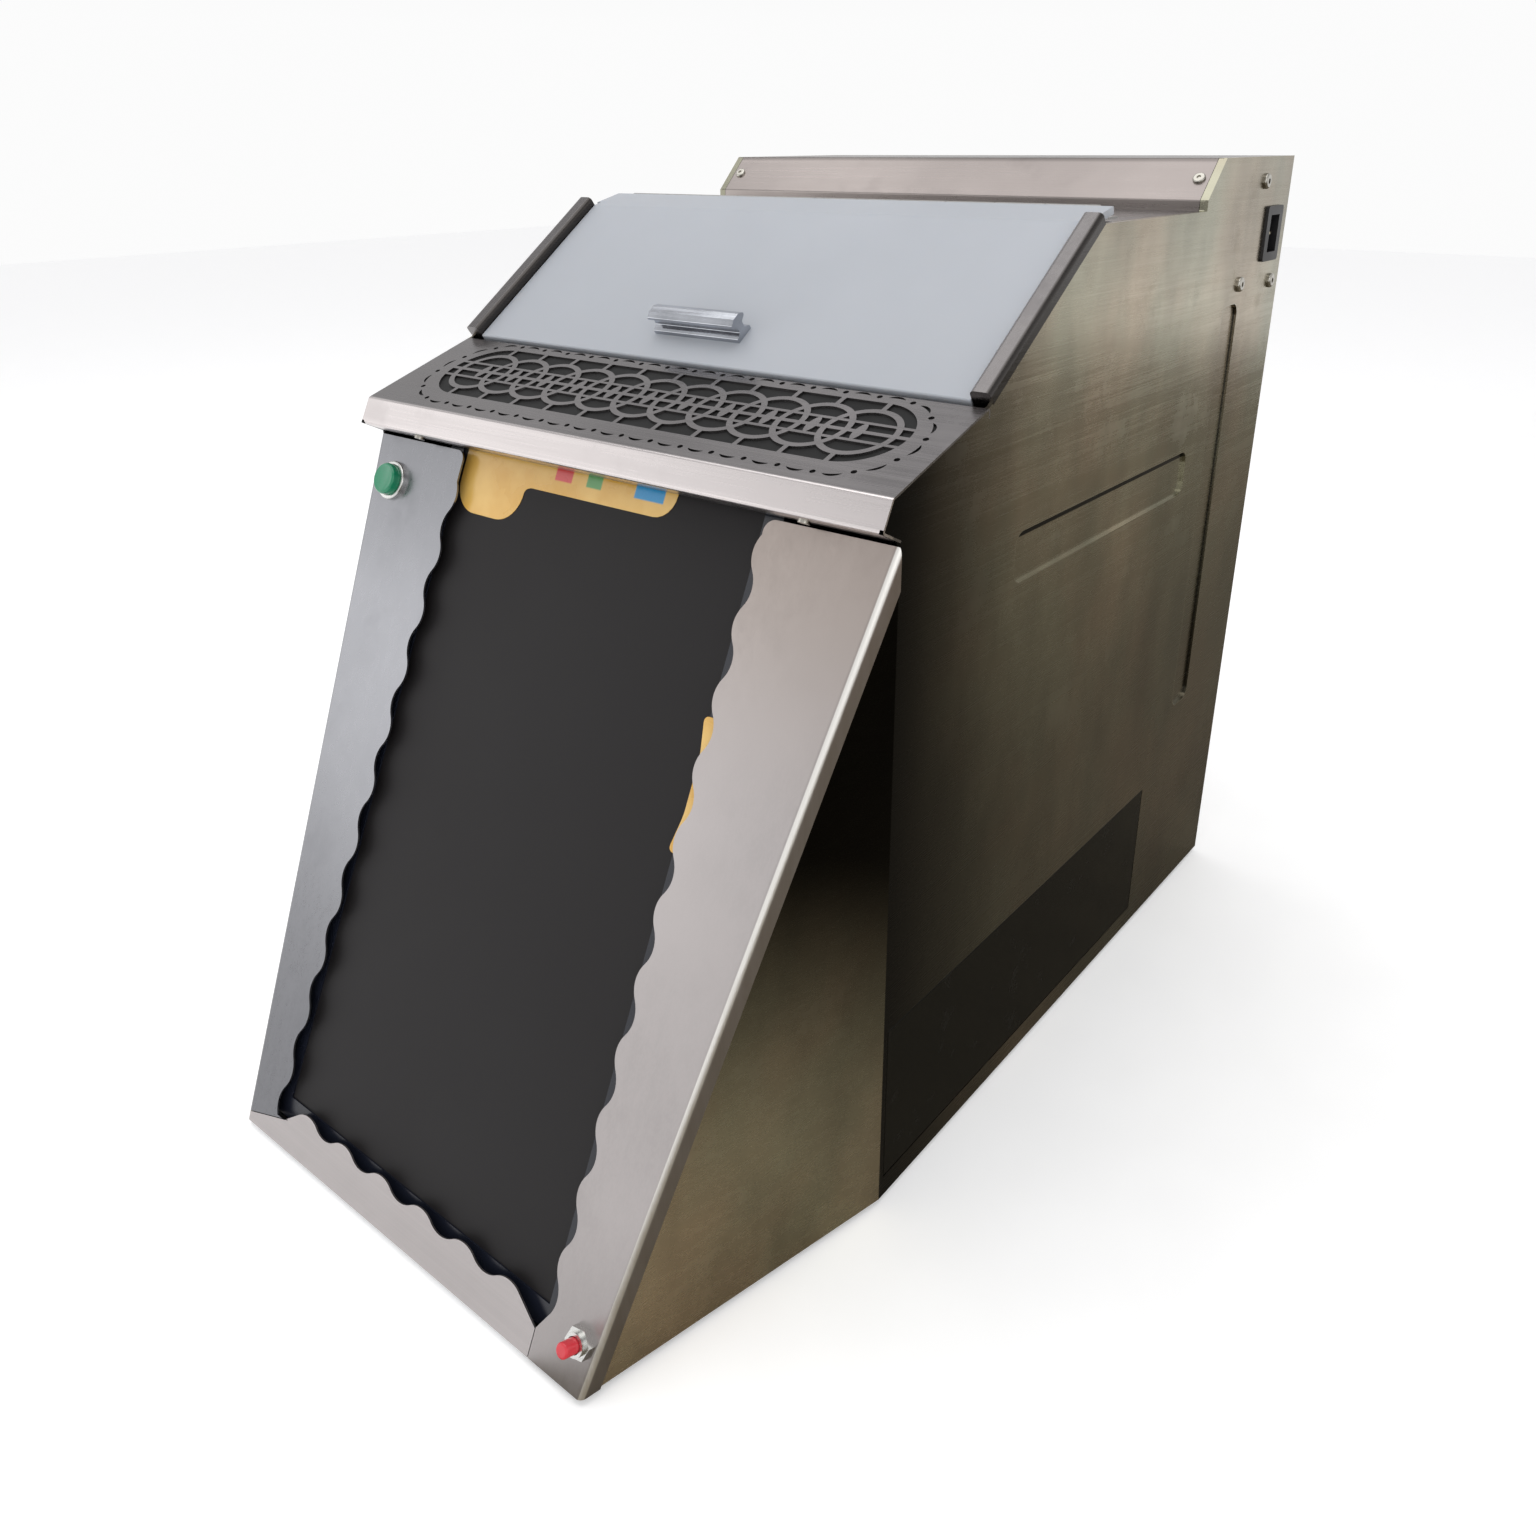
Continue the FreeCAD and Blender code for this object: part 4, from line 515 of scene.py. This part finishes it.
class COMPACTOR_OT_monitor(Operator):
    """Finish the monitor's bezel, screen and rear case"""
    bl_idname = "compactor.monitor"
    bl_label = "Monitor"

    def execute(self, context):
        look = context.scene.compactor_finishes
        tint = tuple(look.screen)
        screen = Finish("screen_off", IOR=1.45)
        screen.shader.inputs["Specular IOR Level"].default_value = 0.25
        haze = screen.noise(screen.mapped((1, 1, 1), (0.1, 0.4, 0.2)), 6.0, 3.0)
        sparkle = screen.noise(screen.mapped(), 2200.0, 1.0)
        tone = screen.blend(screen.spread(haze, 0.3, 0.7), dimmed(tint, 0.95), dimmed(tint, 1.06))
        screen.use(Base_Color=tone, Roughness=screen.spread(haze, 0.3, 0.7, 0.46, 0.54),
                   Normal=screen.bump(sparkle, 0.2, 0.00002))
        wear(screen, "screen_panel")
        wear(moulded("bezel_plastic", tuple(look.bezel), 0.22), "monitor_bezel")
        wear(moulded("case_plastic", (0.015, 0.015, 0.016), 0.5), "monitor_rear_case")
        return {"FINISHED"}


class COMPACTOR_OT_buttons(Operator):
    """Finish the push buttons and the power inlet"""
    bl_idname = "compactor.buttons"
    bl_label = "Buttons And Inlet"

    def execute(self, context):
        look = context.scene.compactor_finishes
        wear(machined("button_nickel", (0.66, 0.66, 0.64), 0.20), "start_button_bezel", "stop_button_bushing")
        green = moulded("button_green", tuple(look.start), 0.22, grain_depth=0.00002, Coat_Weight=0.4)
        wear(green, "start_button_cap")
        red = moulded("button_red", tuple(look.stop), 0.25, grain_depth=0.00002, Coat_Weight=0.3)
        wear(red, "stop_button_cap")
        black = moulded("switch_black", (0.012, 0.012, 0.013), 0.42)
        wear(black, "button_bodies", "power_inlet", "limit_switches")
        return {"FINISHED"}


class COMPACTOR_OT_mechanism(Operator):
    """Finish the chamber, ram, drive and gate"""
    bl_idname = "compactor.mechanism"
    bl_label = "Mechanism"

    def execute(self, context):
        look = context.scene.compactor_finishes
        zinc = steel("zinc_plate", tuple(look.zinc), "across", rough=0.36, stain=0.20)
        wear(zinc, "monitor_brackets", "base_plate", "bulkhead", "gate_guides", "drawer_runners",
             "power_supply")
        liner = steel("liner_steel", (0.42, 0.41, 0.40), "deep", rough=0.34, stain=0.25)
        wear(liner, "chamber_liners", "hopper_back")
        plate = steel("plate_steel", (0.38, 0.37, 0.36), "upright", rough=0.38, stain=0.28)
        wear(plate, "anvil_plate", "ram_plate", "ram_carriage", "push_tube", "drop_gate", "gate_rack")
        wear(machined("shaft_steel", (0.66, 0.67, 0.68), 0.12), "guide_rods", "lead_screw", "gate_pinion")
        wear(machined("bronze", tuple(look.bronze), 0.28), "ram_bushes", "lead_nut")
        wear(machined("cast_block", (0.10, 0.105, 0.11), 0.55, (300, 300, 300), metallic=0.0), "thrust_block")
        wear(machined("pulley_aluminium", (0.62, 0.63, 0.64), 0.30), "screw_pulley", "motor_pulley")
        wear(moulded("belt_rubber", tuple(look.rubber), 0.6), "drive_belt")
        wear(moulded("motor_paint", (0.035, 0.038, 0.042), 0.35), "drive_motor", "gate_motor")
        return {"FINISHED"}


class COMPACTOR_OT_drawer(Operator):
    """Finish the waste drawer"""
    bl_idname = "compactor.drawer"
    bl_label = "Waste Drawer"

    def execute(self, context):
        look = context.scene.compactor_finishes
        tint = tuple(look.drawer)
        gloss = Finish("drawer_gloss", IOR=1.40)
        gloss.shader.inputs["Specular IOR Level"].default_value = 0.10
        dust = gloss.noise(gloss.mapped((1, 1, 1), (0.5, 0.2, 0.1)), 40.0, 5.0, 0.7)
        wave = gloss.noise(gloss.mapped(), 9.0, 1.0)
        tone = gloss.blend(gloss.spread(dust, 0.55, 0.8, 0.0, 0.5), tint, (0.022, 0.021, 0.018))
        gloss.use(Base_Color=tone, Roughness=gloss.spread(dust, 0.4, 0.8, 0.16, 0.34),
                  Normal=gloss.bump(wave, 0.3, 0.0004))
        wear(gloss, "drawer_front")
        wear(steel("bin_steel", (0.50, 0.50, 0.51), "deep", rough=0.32), "drawer_bin")
        return {"FINISHED"}


class COMPACTOR_OT_electrics(Operator):
    """Finish the control board with solder mask, tracks and dark components"""
    bl_idname = "compactor.electrics"
    bl_label = "Control Board"

    def execute(self, context):
        board = Finish("control_board", IOR=1.5)
        low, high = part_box("control_board")
        cells = board.node("TexVoronoi", {"distance": "MANHATTAN"}, Vector=board.mapped(), Scale=110.0)
        track = board.spread(cells.outputs["Distance"], 0.30, 0.34)
        mask = board.blend(track, (0.006, 0.11, 0.045), (0.012, 0.19, 0.08))
        parts = board.spread(board.axis("Y"), low.y + BOARD_T, low.y + BOARD_T + 0.0003)
        tone = board.blend(parts, mask, (0.02, 0.02, 0.022))
        board.use(Base_Color=tone, Roughness=board.spread(track, 0, 1, 0.30, 0.42),
                  Normal=board.bump(track, 0.4, 0.00008))
        wear(board, "control_board")
        return {"FINISHED"}


class COMPACTOR_OT_top_label(Operator):
    """Gold label on the screen under the header: a strip with a rounded tab"""
    bl_idname = "compactor.top_label"
    bl_label = "Top Label"

    def execute(self, context):
        look, size = context.scene.compactor_finishes, context.scene.compactor_sizes
        x0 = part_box("screen_panel")[0].x + LABEL_INSET
        top = size.label_top
        foot = top - size.strip_height
        plane = new_plane("screen_label_top", x0, x0 + size.strip_width, foot, top)
        split = x0 + size.lobe_width
        bpy.ops.object.mode_set(mode="EDIT")
        bpy.ops.mesh.select_all(action="SELECT")
        bpy.ops.mesh.bisect(plane_co=(split, 0, 0), plane_no=(1, 0, 0))
        choose(plane, "edges", lambda p: p.x < split - 0.005 and abs(p.y - foot) < 0.0005)
        bpy.ops.mesh.extrude_region_move(TRANSFORM_OT_translate={"value": (0, -size.lobe_drop, 0)})
        choose(plane, "verts", lambda p: p.y < foot - 0.010)
        bpy.ops.mesh.bevel(offset=0.019, segments=10, affect="VERTICES")
        choose(plane, "verts", lambda p: abs(p.x - split) < 0.001 and abs(p.y - foot) < 0.001)
        bpy.ops.mesh.bevel(offset=0.006, segments=5, affect="VERTICES")
        choose(plane, "verts", lambda p: p.x > x0 + size.strip_width - 0.001 and p.y < foot + 0.001)
        bpy.ops.mesh.bevel(offset=0.014, segments=6, affect="VERTICES")
        bpy.ops.object.mode_set(mode="OBJECT")
        apply_modifier(plane, "SOLIDIFY", thickness=size.film, offset=0)
        place(plane, front_place(TOP_LABEL_DEPTH))

        film = Finish("label_film", Coat_Weight=0.5, Coat_Roughness=0.15)
        x = film.axis("X")
        wobble = film.noise(film.mapped((1, 1, 1), (0.2, 0.2, 0.2)), 30.0, 3.0)
        tone = film.blend(film.spread(wobble, 0.3, 0.7), tuple(look.label), tuple(look.label_rim))
        across = film.axis("Z")
        swatches = (((0.62, 0.05, 0.05), 0.080, 0.094), ((0.10, 0.32, 0.10), 0.106, 0.118),
                    ((0.01, 0.27, 0.56), 0.144, 0.166))
        line_low = BASE_Z + (foot + 0.004) * math.cos(LEAN)
        for shade, start, end in swatches:
            inside = film.maths("MULTIPLY", film.spread(x, x0 + start, x0 + start + 0.001),
                                film.spread(x, x0 + end, x0 + end + 0.001, 1.0, 0.0))
            inside = film.maths("MULTIPLY", inside, film.spread(across, line_low, line_low + 0.001))
            tone = film.blend(inside, tone, shade)
        film.use(Base_Color=tone, Roughness=film.spread(wobble, 0.3, 0.7, 0.24, 0.36))
        finish_piece(plane, film, "cabinet")
        return {"FINISHED"}


class COMPACTOR_OT_side_label(Operator):
    """Gold label on the bezel, half behind the right-hand strip"""
    bl_idname = "compactor.side_label"
    bl_label = "Side Label"

    def execute(self, context):
        look, size = context.scene.compactor_finishes, context.scene.compactor_sizes
        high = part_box("monitor_bezel")[1]
        x0, x1 = high.x - SIDE_LABEL_EDGES[0], high.x - SIDE_LABEL_EDGES[1]
        foot = SIDE_LABEL_FOOT
        top = foot + size.side_label
        plane = new_plane("screen_label_side", x0, x1, foot, top)
        bpy.ops.object.mode_set(mode="EDIT")
        bpy.ops.mesh.select_all(action="SELECT")
        for share in (0.28, 0.72):
            bpy.ops.mesh.bisect(plane_co=(0, foot + (top - foot) * share, 0), plane_no=(0, 1, 0))
            bpy.ops.mesh.select_all(action="SELECT")
        choose(plane, "verts", lambda p: p.x < x0 + 0.001 and foot + 0.01 < p.y < top - 0.01)
        bpy.ops.transform.translate(value=(0.004, 0, 0))
        choose(plane, "verts", lambda p: p.x < x0 + 0.006)
        bpy.ops.mesh.bevel(offset=0.0035, segments=4, affect="VERTICES")
        bpy.ops.object.mode_set(mode="OBJECT")
        apply_modifier(plane, "SOLIDIFY", thickness=size.film, offset=0)
        place(plane, front_place(SIDE_LABEL_DEPTH))
        film = Finish("side_label_film", Coat_Weight=0.5, Coat_Roughness=0.15)
        bands = film.node("TexWave", {"bands_direction": "Z"}, Vector=film.coords, Scale=9.0, Distortion=2.0)
        tone = film.blend(bands.outputs["Fac"], tuple(look.label), tuple(look.label_rim))
        film.use(Base_Color=tone, Roughness=film.spread(bands.outputs["Fac"], 0, 1, 0.25, 0.36))
        finish_piece(plane, film, "cabinet")
        return {"FINISHED"}


class COMPACTOR_OT_inlet_blades(Operator):
    """Three bright blades over the inlet's moulded pins"""
    bl_idname = "compactor.inlet_blades"
    bl_label = "Inlet Blades"

    def execute(self, context):
        grow = context.scene.compactor_sizes.blade_grow
        low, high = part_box("power_inlet")
        middle = (low + high) / 2
        face = high.x - BLADE_SINK
        finish = machined("blade_brass", (0.62, 0.56, 0.42), 0.18)
        for i, (dy, dz) in enumerate(BLADE_PLACES):
            bpy.ops.object.select_all(action="DESELECT")
            centre = (face - BLADE[0] / 2 + grow, middle.y + dy, middle.z + dz)
            bpy.ops.mesh.primitive_cube_add(size=1, location=centre)
            blade = bpy.context.object
            blade.name = "inlet_blade_%d" % (i + 1)
            blade.scale = (BLADE[0], BLADE[1] + 2 * grow, BLADE[2] + 2 * grow)
            bpy.ops.object.transform_apply(location=True, rotation=True, scale=True)
            bpy.ops.object.mode_set(mode="EDIT")
            choose(blade, "edges", lambda p: p.x > centre[0] + 0.006)
            bpy.ops.mesh.bevel(offset=0.0006, segments=3, affect="EDGES")
            bpy.ops.object.mode_set(mode="OBJECT")
            finish_piece(blade, finish, "cabinet")
        return {"FINISHED"}


class COMPACTOR_OT_stage(Operator):
    """Pale floor, soft lights and the camera"""
    bl_idname = "compactor.stage"
    bl_label = "Studio"

    def execute(self, context):
        width = context.scene.compactor_sizes.floor_width
        bpy.ops.object.select_all(action="DESELECT")
        bpy.ops.mesh.primitive_plane_add(size=width, location=(0, 0, cad_low.z - 0.0002))
        floor = context.object
        floor.name = "studio_floor"
        paper = moulded("floor_paper", (0.90, 0.90, 0.90), 0.8, speck=0.01, Emission_Color=(1, 1, 1, 1))
        paper.shader.inputs["Emission Strength"].default_value = 0.30
        floor.data.materials.append(paper.material)
        self.bench_card(cad_high.x + 0.02)
        self.sky(context.scene)
        lamps = (
            ("front_left_softbox", (-1.9, -1.7, 0.9), (0.0, -0.1, 0.25), 1.6, 5.0),
            ("overhead_softbox", (-0.3, -0.2, 2.6), (0.0, 0.0, 0.3), 2.4, 26.0),
            ("right_fill", (2.2, -1.2, 1.6), (0.1, 0.0, 0.2), 1.5, 6.0),
        )
        for name, where, aim, size, power in lamps:
            data = bpy.data.lights.new(name, "AREA")
            data.shape = "SQUARE"
            data.size = size
            data.energy = power
            lamp = bpy.data.objects.new(name, data)
            context.scene.collection.objects.link(lamp)
            lamp.location = where
            lamp.rotation_mode = "QUATERNION"
            lamp.rotation_quaternion = (Vector(aim) - Vector(where)).to_track_quat("-Z", "Y")
        data = bpy.data.cameras.new("camera")
        data.lens = CAMERA_LENS
        data.sensor_width = 36.0
        data.shift_x, data.shift_y = CAMERA_SHIFT
        camera = bpy.data.objects.new("camera", data)
        context.scene.collection.objects.link(camera)
        turn = Matrix.Rotation(CAMERA_YAW, 4, "Z") @ Matrix.Rotation(math.pi / 2 - CAMERA_PITCH, 4, "X")
        turn = turn @ Matrix.Rotation(CAMERA_ROLL, 4, "Z")
        camera.matrix_world = Matrix.Translation(CAMERA_PLACE) @ turn
        context.scene.camera = camera
        context.scene.view_settings.view_transform = "Standard"
        return {"FINISHED"}

    def bench_card(self, x0):
        """Dark brown card on the floor at the right, seen only in the steel."""
        card = new_plane("bench_card", 0.5 * x0, x0 + 3.0, -1.2, 3.2)
        card.location.z = 0.001
        bench = moulded("bench_brown", (0.20, 0.17, 0.12), 0.7)
        card.data.materials.append(bench.material)
        card.visible_camera = False
        card.visible_diffuse = False
        card.visible_shadow = False

    def sky(self, scene):
        """Pale surround, a little dimmer overhead."""
        world = bpy.data.worlds.new("studio")
        scene.world = world
        world.use_nodes = True
        tree = world.node_tree
        backdrop = tree.nodes["Background"]
        coords = tree.nodes.new("ShaderNodeTexCoord")
        split = tree.nodes.new("ShaderNodeSeparateXYZ")
        ramp = tree.nodes.new("ShaderNodeValToRGB")
        ramp.color_ramp.elements[0].position = 0.08
        ramp.color_ramp.elements[0].color = (0.97, 0.97, 0.97, 1)
        ramp.color_ramp.elements[1].position = 0.70
        ramp.color_ramp.elements[1].color = (0.62, 0.62, 0.63, 1)
        tree.links.new(coords.outputs["Generated"], split.inputs["Vector"])
        tree.links.new(split.outputs["Z"], ramp.inputs["Fac"])
        tree.links.new(ramp.outputs["Color"], backdrop.inputs["Color"])


OPERATORS = (
    COMPACTOR_OT_cabinet, COMPACTOR_OT_front, COMPACTOR_OT_header, COMPACTOR_OT_lid, COMPACTOR_OT_monitor,
    COMPACTOR_OT_buttons, COMPACTOR_OT_mechanism, COMPACTOR_OT_drawer, COMPACTOR_OT_electrics,
    COMPACTOR_OT_top_label, COMPACTOR_OT_side_label, COMPACTOR_OT_inlet_blades, COMPACTOR_OT_stage,
)


class COMPACTOR_PT_panel(Panel):
    """Lists the compactor's operators with their colours and sizes"""
    bl_idname = "COMPACTOR_PT_panel"
    bl_label = "Trash Compactor"
    bl_space_type = "VIEW_3D"
    bl_region_type = "UI"
    bl_category = "Compactor"

    def draw(self, context):
        for operator in OPERATORS:
            self.layout.operator(operator.bl_idname)
        for group in (context.scene.compactor_finishes, context.scene.compactor_sizes):
            for name in group.bl_rna.properties.keys():
                if name not in ("rna_type", "name"):
                    self.layout.prop(group, name)


CLASSES = (CompactorFinishes, CompactorSizes) + OPERATORS + (COMPACTOR_PT_panel,)


def register():
    for cls in CLASSES:
        bpy.utils.register_class(cls)
    bpy.types.Scene.compactor_finishes = PointerProperty(type=CompactorFinishes)
    bpy.types.Scene.compactor_sizes = PointerProperty(type=CompactorSizes)


def unregister():
    del bpy.types.Scene.compactor_sizes
    del bpy.types.Scene.compactor_finishes
    for cls in reversed(CLASSES):
        bpy.utils.unregister_class(cls)


def main():
    register()
    for operator in OPERATORS:
        group, name = operator.bl_idname.split(".")
        getattr(getattr(bpy.ops, group), name)()


if __name__ == "__main__":
    main()
